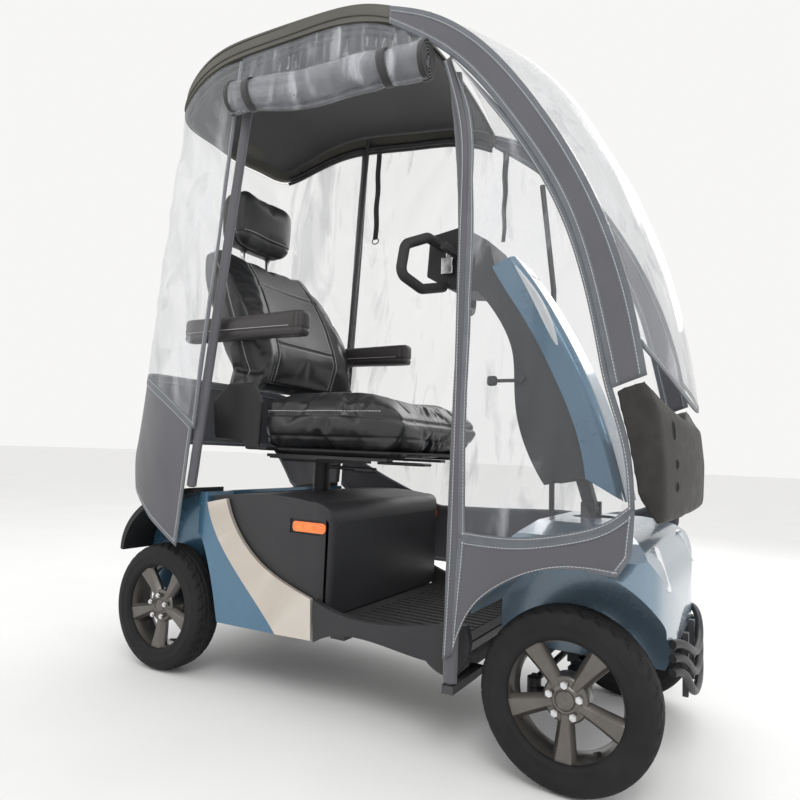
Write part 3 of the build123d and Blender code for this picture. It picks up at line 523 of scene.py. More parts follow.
WALL_LOW = [(760, 352), (300, 352), (-100, 352), (-450, 352), (-640, 350), (-730, 304), (-743, 170),
            (-746, 0)]
WALL_HIGH = [(760, 326), (300, 326), (-100, 320), (-376, 301), (-556, 284), (-650, 236), (-672, 120),
             (-680, 0)]
Z_LOW, Z_HIGH = 0.150, 1.800


def whole_plan(half):
    right = [(x / 1000, -y / 1000) for x, y in half]
    return right + [(x, -y) for x, y in reversed(right[:-1])]


PLAN_T = np.linspace(0, 1, 1201)
PLAN_LOW = sample(spline(whole_plan(WALL_LOW)), 1201)
PLAN_HIGH = sample(spline(whole_plan(WALL_HIGH)), 1201)


def plan_at(z):
    f = (z - Z_LOW) / (Z_HIGH - Z_LOW)
    return PLAN_LOW * (1 - f) + PLAN_HIGH * f


def wall_t(t, z):
    """The point of the canopy's wall at plan parameter t and height z."""
    plan = plan_at(z)
    return np.array([np.interp(t, PLAN_T, plan[:, 0]), np.interp(t, PLAN_T, plan[:, 1]), z])


def wall_x(x, z, side):
    plan = plan_at(z)
    y = np.interp(-x, -plan[:601, 0], -plan[:601, 1])
    return np.array([x, side * y, z])


def metres(points):
    return [(x / 1000, z / 1000) for x, z in points]


def coons(bottom, top, left, right, nu, nv):
    """A grid of (x, z) points inside four edge curves; rows run from bottom to top."""
    g = np.zeros((nv, nu, 2))
    c00, c10, c01, c11 = bottom(0), bottom(1), top(0), top(1)
    for j in range(nv):
        v = j / (nv - 1)
        for i in range(nu):
            u = i / (nu - 1)
            g[j, i] = (1 - v) * bottom(u) + v * top(u) + (1 - u) * left(v) + u * right(v) \
                - ((1 - u) * (1 - v) * c00 + u * (1 - v) * c10 + (1 - u) * v * c01 + u * v * c11)
    return g


def normals_of(g, outward=None):
    du = np.gradient(g, axis=1)
    dv = np.gradient(g, axis=0)
    n = np.cross(du, dv)
    n /= np.linalg.norm(n, axis=2)[:, :, None] + 1e-12
    if outward is not None and (n * outward).sum() < 0:
        n = -n
    return n


def crease(p, seed, lean=0.0, fine=1.0):
    """Height of the film's folds at a point, -1 to 1: long soft folds with sharp creases between."""
    a = p[0] + p[1] + p[2] * lean
    soft = noise.noise(Vector((a * 5.5 * fine, p[2] * 1.7 * fine, seed)))
    sharp = 1 - 2.6 * abs(noise.noise(Vector((a * 8.5 * fine + 3, p[2] * 3.1 * fine - a * 2, seed + 7))))
    small = noise.noise(Vector((a * 21 * fine, p[2] * 8 * fine, seed + 13)))
    return 0.55 * soft + 0.32 * sharp + 0.2 * small


def wrinkle(g, n, amount, seed, lean=0.0, fine=1.0, edge=0.08, inner=None):
    """Moves the grid along its normals by folds that fade out at the edges."""
    rows, cols = g.shape[:2]
    out = g.copy()
    for j in range(rows):
        for i in range(cols):
            fade = min(1, min(i, cols - 1 - i) / (edge * cols) + 0.06,
                       min(j, rows - 1 - j) / (edge * rows) + 0.06)
            local = amount if inner is None else amount * inner(i / (cols - 1), j / (rows - 1))
            out[j, i] += n[j, i] * local * fade * crease(g[j, i], seed, lean, fine)
    return out


def edges_of(g):
    """The four edges of a grid: points, inward directions."""
    return {"bottom": (g[0], g[1] - g[0]), "top": (g[-1], g[-2] - g[-1]),
            "left": (g[:, 0], g[:, 1] - g[:, 0]), "right": (g[:, -1], g[:, -2] - g[:, -1])}


def unit_rows(a):
    return a / (np.linalg.norm(a, axis=1)[:, None] + 1e-12)


def sheet_piece(name, g, n, body, mat, slot, node,
                thick=0.0012,
                binds=("bottom", "top", "left", "right"), tape=0.013, tape_mat="binding", seam=True,
                bind_thick=0.0028):
    """A sheet from a grid, with a sewn tape and its stitches along the named edges."""
    rows, cols = g.shape[:2]
    o = piece(name, g.reshape(-1, 3), grid_faces(rows, cols), body, mat, slot=slot,
              replaces=(node,) if node else (),
              solid=thick)
    edges = edges_of(g)
    ns = {"bottom": n[0], "top": n[-1], "left": n[:, 0], "right": n[:, -1]}
    for key in binds:
        pts, inward = edges[key]
        keep = [0] + [k for k in range(1, len(pts)) if np.linalg.norm(pts[k] - pts[k - 1]) > 1e-5]
        pts, inward, nn = pts[keep], unit_rows(inward[keep]), unit_rows(ns[key][keep])
        tape_o = ribbon(f"{name}_tape_{key}", pts, inward, nn, tape, bind_thick, body, tape_mat)
        if seam:
            parts = []
            for side in (1, -1):
                line = pts + inward * (tape * 0.72) + nn * side * (bind_thick * 0.62 + 0.0001)
                parts.append(stitch_mesh(line, nn * side, 0.0068, 0.0042, 0.0007))
            v, f = join_meshes(parts)
            if v:
                st = piece(f"{name}_stitch_{key}", v, f, body, "thread", smooth=False)
    return o


ROOF_LINE = metres([(-740, 1530), (-650, 1590), (-550, 1638), (-433, 1665), (-307, 1663), (-161, 1650),
                    (-16, 1635),
                    (87, 1603), (117.7, 1588)])
SCREEN_OUTER = metres([(118, 1629), (210, 1586), (323, 1501), (461, 1329), (582, 1113), (660, 887),
                       (686, 757),
                       (698, 690)])
SCREEN_BULGE = (48, 62, 80, 80, 64, 50, 46, 38)
SCREEN_INNER = metres([(118, 1588), (200, 1528), (278, 1462), (420, 1280), (537, 1072), (605, 836),
                       (628, 730)])
ZIP = metres([(342, 440), (336, 600), (336, 916), (334, 1127), (326, 1290), (280, 1458)])
SKIRT_TOP = metres([(342, 440), (468, 440), (560, 458), (629, 486), (668, 520)])
SKIRT_LOW = metres([(337, 217), (372, 307), (431, 362), (543, 405), (640, 402)])


def on_wall(g2, side, outset=0.0):
    rows, cols = g2.shape[:2]
    g = np.zeros((rows, cols, 3))
    for j in range(rows):
        for i in range(cols):
            g[j, i] = wall_x(g2[j, i, 0], g2[j, i, 1], side)
    n = normals_of(g, np.array([0, side, 0]))
    return g + n * outset, n


def front_panel():
    inner = [p for p in SCREEN_INNER[2:]] + [(0.655, 0.640)]
    right = list(reversed(inner)) 
    g2 = coons(spline(SKIRT_TOP), polyline([(0.279, 1.459), (0.281, 1.461)]), spline(ZIP),
               spline([SKIRT_TOP[-1]] + right), 44, 90)
    g, n = on_wall(g2, -1, -0.0012)
    w = wrinkle(g, n, 0.011, 3.1, 0.35, 1.0, 0.07)
    sheet_piece("front_window_near", w, n, "chassis", "clear_pvc", "clear_pvc", "front_panel_right",
                binds=("bottom", "left", "right"))


def far_side():
    top = [(-0.366, 1.652), (-0.161, 1.645), (-0.016, 1.628), (0.087, 1.598), (0.112, 1.587)]
    inner = SCREEN_INNER + [(0.655, 0.640)]
    bottom = [(-0.424, 0.590), (-0.230, 0.500), (-0.041, 0.424), (0.150, 0.430), (0.342, 0.440),
              (0.468, 0.440),
              (0.560, 0.458), (0.629, 0.486), (0.668, 0.520)]
    left = [(-0.424, 0.590), (-0.411, 0.850), (-0.382, 1.313), (-0.366, 1.652)]
    g2 = coons(polyline(bottom), spline(top), spline(left), spline([bottom[-1]] + list(reversed(inner))[:-1]
                                                                   + [(0.112, 1.587)]), 96, 96)
    g, n = on_wall(g2, 1, -0.0012)
    w = wrinkle(g, n, 0.012, 9.3, -0.3, 0.8, 0.05)
    sheet_piece("side_window_far", w, n, "chassis", "clear_pvc", "clear_pvc", "side_panel_left",
                binds=("bottom", "left"))
    low = [(-0.428, 0.480), (-0.200, 0.330), (-0.060, 0.262), (0.304, 0.262)] + SKIRT_LOW[1:]
    g2 = coons(polyline(low), polyline(bottom), polyline([low[0], bottom[0]]),
               polyline([low[-1], (0.664, 0.44),
                                                                                         bottom[-1]]), 90, 16)
    g, n = on_wall(g2, 1, -0.0012)
    w = wrinkle(g, n, 0.006, 2.2, 0.0, 0.8, 0.1)
    sheet_piece("skirt_far", w, n, "chassis", "canopy_fabric", "canopy_fabric", "side_skirts",
                binds=("bottom",), thick=0.0016)


def near_skirt():
    g2 = coons(spline(SKIRT_LOW), spline(SKIRT_TOP), polyline([SKIRT_LOW[0], (0.338, 0.33), SKIRT_TOP[0]]),
               polyline([SKIRT_LOW[-1], (0.664, 0.44), SKIRT_TOP[-1]]), 46, 22)
    g, n = on_wall(g2, -1, -0.0008)
    w = wrinkle(g, n, 0.006, 5.2, 0.2, 1.2, 0.12)
    sheet_piece("skirt_near", w, n, "chassis", "canopy_fabric", "canopy_fabric", "side_skirts",
                thick=0.0016)
    zip_g = coons(polyline([(0.318, 0.205), (0.337, 0.217)]), polyline([(0.264, 1.452), (0.280, 1.458)]),
                  spline([(0.318, 0.205), (0.322, 0.44), (0.318, 0.9), (0.316, 1.127), (0.308, 1.29),
                          (0.264, 1.452)]),
                  spline([SKIRT_LOW[0]] + ZIP), 5, 110)
    g, n = on_wall(zip_g, -1, -0.0008)
    w = wrinkle(g, n, 0.003, 1.7, 0.2, 1.0, 0.01)
    sheet_piece("zip_tape_near", w, n, "chassis", "canopy_fabric", "canopy_fabric", None,
                binds=("left",), tape=0.006, thick=0.0016)


def strips():
    for side, tag in ((-1, "near"), (1, "far")):
        outer = SCREEN_OUTER[:-2] + [(0.686, 0.752)]
        g2 = coons(polyline([SCREEN_INNER[-1], outer[-1]]), polyline([SCREEN_INNER[0], outer[0]]),
                   spline(list(reversed(SCREEN_INNER))), spline(list(reversed(outer))), 9, 100)
        g, n = on_wall(g2, side, 0.0012)
        w = wrinkle(g, n, 0.003, 4.4, 0.1, 1.0, 0.2)
        sheet_piece(f"screen_border_{tag}", w, n, "chassis", "canopy_fabric", "canopy_fabric",
                    "screen_strips",
                    binds=("left", "right"), tape=0.015,
                    thick=0.0018)


def screen_point(curve, bulge, v, share):
    p = curve(v)
    q = curve(min(1, v + 0.002)) - curve(max(0, v - 0.002))
    q /= np.linalg.norm(q)
    nx, nz = -q[1], q[0]
    if nz < 0:
        nx, nz = -nx, -nz
    out = float(bulge(v)[1]) * (1 - share * share)
    z = p[1]
    half = wall_x(p[0], z, 1)[1] - 0.0046
    return np.array([p[0] + nx * out, share * half, z + nz * out])


def windscreen():
    curve = spline(SCREEN_OUTER)
    s = np.concatenate([[0], np.cumsum(np.linalg.norm(np.diff(np.array(SCREEN_OUTER), axis=0), axis=1))])
    s /= s[-1]
    bulge = spline([(a, b / 1000) for a, b in zip(s, SCREEN_BULGE)])
    rows, cols = 90, 60
    g = np.zeros((rows, cols, 3))
    foot = 0.985
    for j in range(rows):
        for i in range(cols):
            share = 2 * i / (cols - 1) - 1
            end = foot - 0.085 * share * share
            v = 1 - (1 - end) - end * j / (rows - 1)
            g[j, i] = screen_point(curve, bulge, v, share)
    n = normals_of(g, np.array([1, 0, 0.5]))
    w = wrinkle(g, n, 0.006, 6.6, 0.0, 0.7, 0.1)
    sheet_piece("windscreen_film", w, n, "chassis", "clear_pvc", "clear_pvc", "windscreen",
                binds=("bottom",), thick=0.0016)


def rear_grid(z_low, z_high, x_edge, rows, cols, outset):
    """A grid round the back of the wall between two height curves of x."""
    g = np.zeros((rows, cols, 3))
    plan = plan_at(0.85)
    t0 = float(np.interp(-x_edge, -plan[:601, 0], PLAN_T[:601]))
    for i in range(cols):
        t = t0 + (1 - 2 * t0) * i / (cols - 1)
        ends = []
        for curve in (z_low, z_high):
            z = 0.9
            for _ in range(6):
                z = float(np.interp(wall_t(t, z)[0], curve[0], curve[1]))
            ends.append(z)
        for j in range(rows):
            g[j, i] = wall_t(t, ends[0] + (ends[1] - ends[0]) * j / (rows - 1))
    n = normals_of(g)
    middle = n[rows // 2, cols // 2]
    if middle[0] > 0:
        n = -n
    return g + n * outset, n


def curve_of(points):
    p = sorted(points)
    fine = sample(spline(p), 60)
    return fine[:, 0], fine[:, 1]


REAR_SEAM = metres([(-760, 810), (-690, 785), (-562, 728), (-414, 632)])
REAR_TOP = metres([(-760, 1512), (-740, 1526), (-650, 1584), (-550, 1630), (-433, 1656), (-366, 1652)])
REAR_LOW = metres([(-760, 604), (-706, 598), (-647, 470), (-560, 400), (-450, 334), (-436, 334)])


def rear_canopy():
    g, n = rear_grid(curve_of(REAR_SEAM), curve_of(REAR_TOP), -0.414, 80, 130, -0.0012)
    w = wrinkle(g, n, 0.017, 12.5, 0.5, 1.15, 0.05)
    sheet_piece("rear_window", w, n, "chassis", "clear_pvc", "clear_pvc", "rear_clear_panel",
                binds=("left", "right", "bottom"))
    g, n = rear_grid((np.array([p[0] for p in REAR_LOW]), np.array([p[1] for p in REAR_LOW])),
                     curve_of(REAR_SEAM),
                     -0.424, 26, 120, -0.0008)
    w = wrinkle(g, n, 0.008, 8.8, 0.3, 1.0, 0.1)
    sheet_piece("skirt_rear", w, n, "chassis", "canopy_fabric", "canopy_fabric", "rear_skirt",
                thick=0.0016)


def headliner():
    rows, cols = 60, 40
    xs = np.linspace(-0.70, 0.112, rows)
    line = sample(spline(ROOF_LINE), 80)
    g = np.zeros((rows, cols, 3))
    for j, x in enumerate(xs):
        edge = float(np.interp(x, line[:, 0], line[:, 1]))
        plan = plan_at(edge)
        x_in = max(x, plan[:, 0].min() + 0.012)
        half = wall_x(x_in, edge, 1)[1] - 0.014
        crown = 0.048 * min(1, max(0, (x + 0.68) / 0.18))
        for i in range(cols):
            share = 2 * i / (cols - 1) - 1
            full = share * half / 0.34
            g[j, i] = (x_in, share * half, edge + 0.040 + crown * (1 - full * full) - 0.0105)
    n = normals_of(g, np.array([0, 0, -1]))
    for j in range(rows):
        for i in range(cols):
            g[j, i, 2] -= 0.001 + 0.001 * noise.noise(Vector((g[j, i, 0] * 6, g[j, i, 1] * 6, 0)))
    sheet_piece("headliner", g, n, "chassis", "headliner", None, None, binds=(),
                thick=0.001)


def roof_trim():
    line = spline(ROOF_LINE[1:])
    for side, tag in ((-1, "near"), (1, "far")):
        low, groove = [], []
        for k in range(70):
            x, z = line(k / 69)
            p = wall_x(x, z, side)
            low.append(p + np.array([0, -side * 0.018, -0.002]))
            q = wall_x(x, z + 0.014, side)
            groove.append(q + np.array([0, side * 0.0012, 0]))
        tube(f"roof_rail_{tag}", low, 0.0095, "chassis", "steel_black", slot="steel_black")
        tube(f"roof_bead_{tag}", groove, 0.0022, "chassis", "roof", slot="roof")
        second = [p + np.array([0, -side * 0.006, -0.019]) for p in low]
        tube(f"roof_piping_{tag}", second, 0.0055, "chassis", "strap", slot="strap")


# Rolled door

ROLL_A, ROLL_B = np.array([-0.372, -0.333, 1.532]), np.array([0.226, -0.333, 1.468])


def roll_section(turns, r_in, r_out, k, n):
    """One point of the roll's spiral, from its core outwards; taller than it is wide."""
    a = 2 * math.pi * turns * k / n
    r = r_in + (r_out - r_in) * k / n
    return np.array([math.cos(a) * r * 0.86, math.sin(a) * r * 1.18])


def rolled_door():
    cols, spiral, riser = 100, 150, 16
    turns, r_in, r_out = 4.75, 0.012, 0.040
    rows = spiral + riser
    g = np.zeros((rows, cols, 3))
    line = sample(spline(ROOF_LINE), 80)
    for i in range(cols):
        u = i / (cols - 1)
        centre = ROLL_A * (1 - u) + ROLL_B * u
        centre = centre + np.array([0, 0, -0.012 * math.sin(math.pi * min(1, max(0, (u - 0.1) / 0.65))) ** 2])
        tie = max(math.exp(-((u - 0.13) / 0.035) ** 2), math.exp(-((u - 0.82) / 0.035) ** 2))
        loose = 1 + 0.10 * math.sin(math.pi * min(1, max(0, (u - 0.13) / 0.69))) - 0.10 * tie
        for k in range(spiral):
            y, z = roll_section(turns, r_in, r_out, k, spiral - 1)
            wob = 0.0016 * noise.noise(Vector((u * 9, k * 0.05, 4.4)))
            scale = loose * (1 + (wob / 0.04) * k / spiral)
            g[k, i] = centre + np.array([0, -y * scale, z * scale])
        last = g[spiral - 1, i].copy()
        roof_z = float(np.interp(centre[0], line[:, 0], line[:, 1]))
        hem = wall_x(centre[0], roof_z - 0.004, -1) + np.array([0, 0.006, 0])
        for k in range(riser):
            f = (k + 1) / riser
            p = last * (1 - f) + hem * f
            fold = math.sin(u * 120 + 2.4 * math.sin(u * 17)) * 0.006 + 0.006 * noise.noise(Vector((u * 40,
                f * 3, 1)))
            g[spiral + k, i] = p + np.array([0, -fold * math.sin(math.pi * f) - 0.002, 0])
    o = piece("rolled_door_film", g.reshape(-1, 3), grid_faces(rows, cols), "chassis", "roll_pvc",
              slot="clear_pvc", replaces=("rolled_door",), solid=0.0008)
    for key, col, sign in (("front", cols - 1, -1), ("rear", 0, 1)):
        pts = g[:spiral, col]
        t = unit_rows(np.gradient(pts, axis=0))
        inward = np.tile(np.array([sign * 1.0, 0, 0]), (spiral, 1))
        nn = unit_rows(np.cross(t, inward))
        ribbon(f"roll_binding_{key}", pts, inward, nn, 0.013, 0.0026, "chassis", "strap")
    for key, u in (("rear", 0.13), ("front", 0.82)):
        col = int(u * (cols - 1))
        centre = (g[:spiral, col].max(0) + g[:spiral, col].min(0)) / 2
        half = (g[:spiral, col].max(0) - g[:spiral, col].min(0)) / 2 + 0.0035
        pts, inward, nn = [], [], []
        for k in range(40):
            a = 2 * math.pi * k / 40
            d = np.array([0, math.cos(a), math.sin(a)])
            pts.append(centre + np.array([-0.010 - 0.008 * math.sin(a), half[1] * d[1], half[2] * d[2]]))
            inward.append((1, 0, 0))
            nn.append(d)
        ribbon(f"roll_tie_{key}", pts, inward, nn, 0.021, 0.0018, "chassis", "strap", start=0.0,
                            closed=True)


# Wheels

def lathe(profile, segments):
    """Vertices and faces of a closed profile of (radius, depth) turned about the axle."""
    verts = []
    for k in range(segments):
        a = 2 * math.pi * k / segments
        for r, d in profile:
            verts.append((r * math.cos(a), d, r * math.sin(a)))
    return verts, grid_faces(segments, len(profile), True, True)


SPOKE_ROWS = ((0.024, 0.0245, 0.030, 0.010), (0.036, 0.0245, 0.031, 0.011), (0.052, 0.0255, 0.034, 0.014),
              (0.070, 0.0275, 0.038, 0.018), (0.088, 0.0300, 0.043, 0.023), (0.100, 0.0315, 0.047, 0.027),
              (0.108, 0.0320, 0.050, 0.030))


def spoke_mesh(angle):
    """One broad spoke: a flat band that widens outwards between two sloping sides."""
    verts = []
    ca, sa = math.cos(angle), math.sin(angle)
    for r, d, w, band in SPOKE_ROWS:
        ring = ((-w / 2, d - 0.0125), (-w / 2 + 0.002, d - 0.0095), (-band / 2 - 0.0015, d - 0.0012),
                (-band / 2, d),
                (0, d - 0.0006), (band / 2, d), (band / 2 + 0.0015, d - 0.0012), (w / 2 - 0.002, d - 0.0095),
                (w / 2, d - 0.0125), (w / 2 - 0.004, d - 0.024), (0, d - 0.021), (-w / 2 + 0.004, d - 0.024))
        for across, depth in ring:
            verts.append((r * ca - across * sa, depth, r * sa + across * ca))
    n = 12
    faces = grid_faces(len(SPOKE_ROWS), n, False, True)
    faces.append(tuple(range(n - 1, -1, -1)))
    faces.append(tuple(range((len(SPOKE_ROWS) - 1) * n, len(SPOKE_ROWS) * n)))
    return verts, faces


RIM_PROFILE = ((0.1130, 0.0345), (0.1115, 0.0362), (0.1085, 0.0355), (0.1070, 0.0325), (0.1058, 0.0270),
               (0.1025, 0.0200), (0.1000, 0.0060), (0.1000, -0.0200), (0.1050, -0.0300), (0.1085, -0.0355),
               (0.1120, -0.0360), (0.1130, -0.0340), (0.1080, -0.0310), (0.1035, -0.0200), (0.1035, 0.0180),
               (0.1080, 0.0300))
HUB_PROFILE = ((0.0005, 0.0262), (0.0150, 0.0262), (0.0165, 0.0256), (0.0172, 0.0235), (0.0184, 0.0235),
               (0.0192, 0.0262), (0.0215, 0.0268), (0.0240, 0.0255), (0.0262, 0.0235), (0.0390, 0.0215),
               (0.0425, 0.0180), (0.0425, -0.0180), (0.0005, -0.0180))


def tread_drop(d, a):
    """How far the tread is cut at distance d from its middle and angle a: grooves round it and slanted across it."""
    e = abs(d)
    cut = 0.0
    for at, half in ((0.0095, 0.0016), (0.0225, 0.0015)):
        cut = max(cut, 1 - (abs(e - at) / half) ** 4) if abs(e - at) < half else cut
    turn = a * 34 / (2 * math.pi) + (0.5 if d > 0 else 0)
    if e > 0.0095:
        f = (turn + (e - 0.0095) * 26) % 1
        cut = max(cut, 1 - (abs(f - 0.5) / 0.075) ** 4) if abs(f - 0.5) < 0.075 else cut
    if 0.012 < e < 0.021 or 0.025 < e < 0.034:
        f = (turn * 2 + 0.3 + e * 60) % 1
        if abs(f - 0.5) < 0.05:
            cut = max(cut, 0.55)
    fade = min(1, max(0, (0.037 - e) / 0.004))
    return 0.0042 * cut * fade


def tyre_grid():
    segments = 408
    shape = [(0.1075, 0.0345), (0.1100, 0.0375), (0.1150, 0.0400), (0.1165, 0.0408), (0.1180, 0.0404),
             (0.1260, 0.0418), (0.1360, 0.0420), (0.1372, 0.0424), (0.1384, 0.0418), (0.1460, 0.0406),
             (0.1520, 0.0388)]
    tread = spline([(0.1520, 0.0388), (0.1572, 0.0355), (0.1612, 0.0300), (0.1638, 0.0200), (0.1650, 0.0)])
    half = shape[:-1] + [tuple(tread(k / 26)) for k in range(27)]
    full = half + [(r, -d) for r, d in reversed(half[:-1])]
    inner = [(0.1062, -0.0300), (0.1062, 0.0), (0.1062, 0.0300)]
    verts = []
    for k in range(segments):
        a = 2 * math.pi * k / segments
        for r, d in full + inner:
            q = r - (tread_drop(d, a) if r > 0.150 else 0)
            verts.append((q * math.cos(a), d, q * math.sin(a)))
    return verts, grid_faces(segments, len(full) + len(inner), True, True)


def place(verts, x, y, side, turn=0.0):
    ca, sa = math.cos(turn), math.sin(turn)
    out = []
    for a, d, b in verts:
        out.append((x + a * ca - b * sa, y + side * d, 0.165 + a * sa + b * ca))
    return out


def wheels():
    tyre_v, tyre_f = tyre_grid()
    rim_parts = [lathe(RIM_PROFILE, 128), lathe(HUB_PROFILE, 96)]
    for k in range(5):
        rim_parts.append(spoke_mesh(math.radians(270 + 72 * k)))
    rim_v, rim_f = join_meshes(rim_parts)
    for end, x in (("front", 0.545), ("rear", -0.545)):
        for name, side in (("right", -1), ("left", 1)):
            tag = f"{end}_{name}"
            y = side * 0.283
            body = f"wheel_{tag}"
            piece(f"tyre_detail_{tag}", place(tyre_v, x, y, side), tyre_f, body, "tyre", slot="tyre",
                  replaces=(f"tyre_{tag}",))
            piece(f"rim_detail_{tag}", place(rim_v, x, y, side), rim_f, body, "alloy", slot="alloy",
                  replaces=(f"rim_{tag}",), bevel=0.0008)
            stem = [(0.101, 0.012, 0.0), (0.098, 0.020, 0.0), (0.094, 0.030, 0.0)]
            at = math.radians(306)
            pts = [(r * math.cos(at), d, r * math.sin(at)) for r, d, _ in stem]
            tube(f"valve_{tag}", place(pts, x, y, side), [0.0042, 0.0036, 0.0026], body, "mat_rubber")


# Seat

def mesh_copy(name, nodes, shrink):
    """A new object from CAD nodes' meshes, a little smaller about their middle."""
    bm = bmesh.new()
    for node in nodes:
        bm.from_mesh(NODES[node].data)
    lo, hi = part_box(nodes[0])
    mid = (Vector(lo) + Vector(hi)) / 2
    for v in bm.verts:
        v.co = mid + Vector(tuple((v.co[k] - mid[k]) * shrink[k] for k in range(3)))
    mesh = bpy.data.meshes.new(name)
    bm.to_mesh(mesh)
    bm.free()
    o = bpy.data.objects.new(name, mesh)
    bpy.context.scene.collection.objects.link(o)
    return o


def apply_modifiers(o):
    dg = bpy.context.evaluated_depsgraph_get()
    dg.update()
    mesh = bpy.data.meshes.new_from_object(o.evaluated_get(dg))
    old = o.data
    o.modifiers.clear()
    o.data = mesh
    bpy.data.meshes.remove(old)


def coords_of(o):
    a = np.empty(len(o.data.vertices) * 3)
    o.data.vertices.foreach_get("co", a)
    return a.reshape(-1, 3)


def set_coords(o, a):
    o.data.vertices.foreach_set("co", a.reshape(-1))
    o.data.update()


def inflate(o, cap, pressure=4.0):
    """Cloth under a little pressure, with no point moving further than cap."""
    before = coords_of(o)
    cloth = o.modifiers.new("cloth", "CLOTH")
    cloth.settings.quality = 5
    cloth.settings.mass = 0.3
    cloth.settings.use_pressure = True
    cloth.settings.uniform_pressure_force = pressure
    cloth.settings.tension_stiffness = 25
    cloth.settings.compression_stiffness = 25
    cloth.settings.bending_stiffness = 6
    cloth.settings.effector_weights.gravity = 0
    cloth.collision_settings.use_self_collision = False
    scene = bpy.context.scene
    for f in range(1, 21):
        scene.frame_set(f)
    apply_modifiers(o)
    scene.frame_set(1)
    after = coords_of(o)
    move = after - before
    far = np.linalg.norm(move, axis=1)
    after = before + move * np.minimum(1, cap / np.maximum(far, 1e-9))[:, None]
    set_coords(o, after)


def seam_cut(a, normals, distance, width, depth):
    """Pulls the surface in along a sewn line: a groove of that width and depth."""
    return a - normals * (depth * np.exp(-(distance / width) ** 2))[:, None]


def point_normals(o):
    a = np.empty(len(o.data.vertices) * 3)
    o.data.vertices.foreach_get("normal", a)
    return a.reshape(-1, 3)


def padded_piece(name, nodes, shrink, voxel, cap, shape=None, seams=(), body="seat_slide", mat="leather"):
    o = mesh_copy(name, nodes, shrink)
    m = o.modifiers.new("remesh", "REMESH")
    m.mode = "VOXEL"
    m.voxel_size = voxel
    m = o.modifiers.new("relax", "SMOOTH")
    m.factor = 0.6
    m.iterations = 8
    apply_modifiers(o)
    if shape:
        a = coords_of(o)
        set_coords(o, shape(a))
    inflate(o, cap)
    m = o.modifiers.new("finer", "SUBSURF")
    m.levels = 1
    m.render_levels = 1
    apply_modifiers(o)
    for distance, width, depth in seams:
        a = coords_of(o)
        set_coords(o, seam_cut(a, point_normals(o), distance(a), width, depth))
    o.data.materials.clear()
    o.data.materials.append(M[mat])
    o.data.shade_smooth()
    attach(o, body)
    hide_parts(*nodes)
    return o


def surface_line(o, starts, direction, lift):
    """Points where rays from starts meet the piece, with the surface normals."""
    dg = bpy.context.evaluated_depsgraph_get()
    e = o.evaluated_get(dg)
    pts, nrm = [], []
    for p in starts:
        hit, where, normal, _ = e.ray_cast(Vector(p), Vector(direction))
        if hit:
            pts.append(np.array(where) + np.array(normal) * lift)
            nrm.append(np.array(normal))
    return pts, nrm


def sewn(name, o, lines, body):
    """Stitches laid on the piece along lines of (starts, direction)."""
    parts = []
    for starts, direction in lines:
        pts, nrm = surface_line(o, starts, direction, 0.0002)
        if len(pts) > 2:
            parts.append(stitch_mesh(pts, nrm, 0.0085, 0.0055, 0.00085))
    v, f = join_meshes(parts)
    if v:
        piece(name, v, f, body, "thread", smooth=False)


def fine(points, n=60):
    return [tuple(p) for p in sample(spline(points), n)]


def seat_pad():
    def shape(a):
        b = a.copy()
        across = a[:, 1] / 0.24
        along = (a[:, 0] + 0.08) / 0.22
        top = np.clip((a[:, 2] - 0.64) / 0.08, 0, 1)
        b[:, 2] += top * (-0.020 * (1 - across ** 2) * (1 - np.clip(along, -1, 1) ** 2) + 0.006 * across ** 4)
        nose_end = np.clip((a[:, 0] - 0.02) / 0.12, 0, 1)
        b[:, 2] -= top * 0.012 * nose_end ** 2
        b[:, 1] *= 1 - 0.05 * nose_end ** 2
        low = np.clip((0.66 - a[:, 2]) / 0.05, 0, 1)
        b[:, 1] *= 1 - 0.07 * low
        b[:, 0] -= 0.02 * low * nose_end
        return b
    rim_z = lambda a: np.abs(a[:, 2] - (0.688 - 0.012 * np.clip((a[:, 0] - 0.0) / 0.14, 0, 1)))
    panel_y = lambda a: np.where(a[:, 2] > 0.70,
                                 np.abs(np.abs(a[:, 1]) - 0.155 + 0.03 * np.clip(a[:, 0] / 0.14, 0, 1)), 1)
    panel_x = lambda a: np.where((a[:, 2] > 0.69) & (np.abs(a[:, 1]) < 0.15), np.abs(a[:, 0] - 0.055), 1)
    base_z = lambda a: np.abs(a[:, 2] - 0.632)
    o = padded_piece("seat_pad", ["seat_cushion"], (0.965, 0.975, 0.93), 0.006, 0.022, shape,
                     [(rim_z, 0.0045, 0.0045), (panel_y, 0.004, 0.004), (panel_x, 0.004, 0.0035),
                      (base_z, 0.004, 0.003)])
    lines = []
    for side in (-1, 1):
        for off in (0.007, -0.007):
            lines.append(([(x, side * (0.155 - 0.03 * max(0, x / 0.14) + off),
                            0.86) for x in np.linspace(-0.27, 0.12, 70)],
                          (0, 0, -1)))
    for off in (0.007, -0.007):
        lines.append(([(0.055 + off, y, 0.86) for y in np.linspace(-0.14, 0.14, 50)], (0, 0, -1)))
    for side in (-1, 1):
        lines.append(([(x, side * 0.5, 0.697) for x in np.linspace(-0.29, 0.08, 70)], (0, -side, 0)))
    lines.append(([(0.5, y, 0.685) for y in np.linspace(-0.2, 0.2, 70)], (-1, 0, 0)))
    sewn("seat_pad_stitching", o, lines, "seat_slide")


def back_x(z):
    return float(np.interp(z, [0.76, 0.90, 1.06, 1.196], [-0.318, -0.345, -0.420, -0.535]))


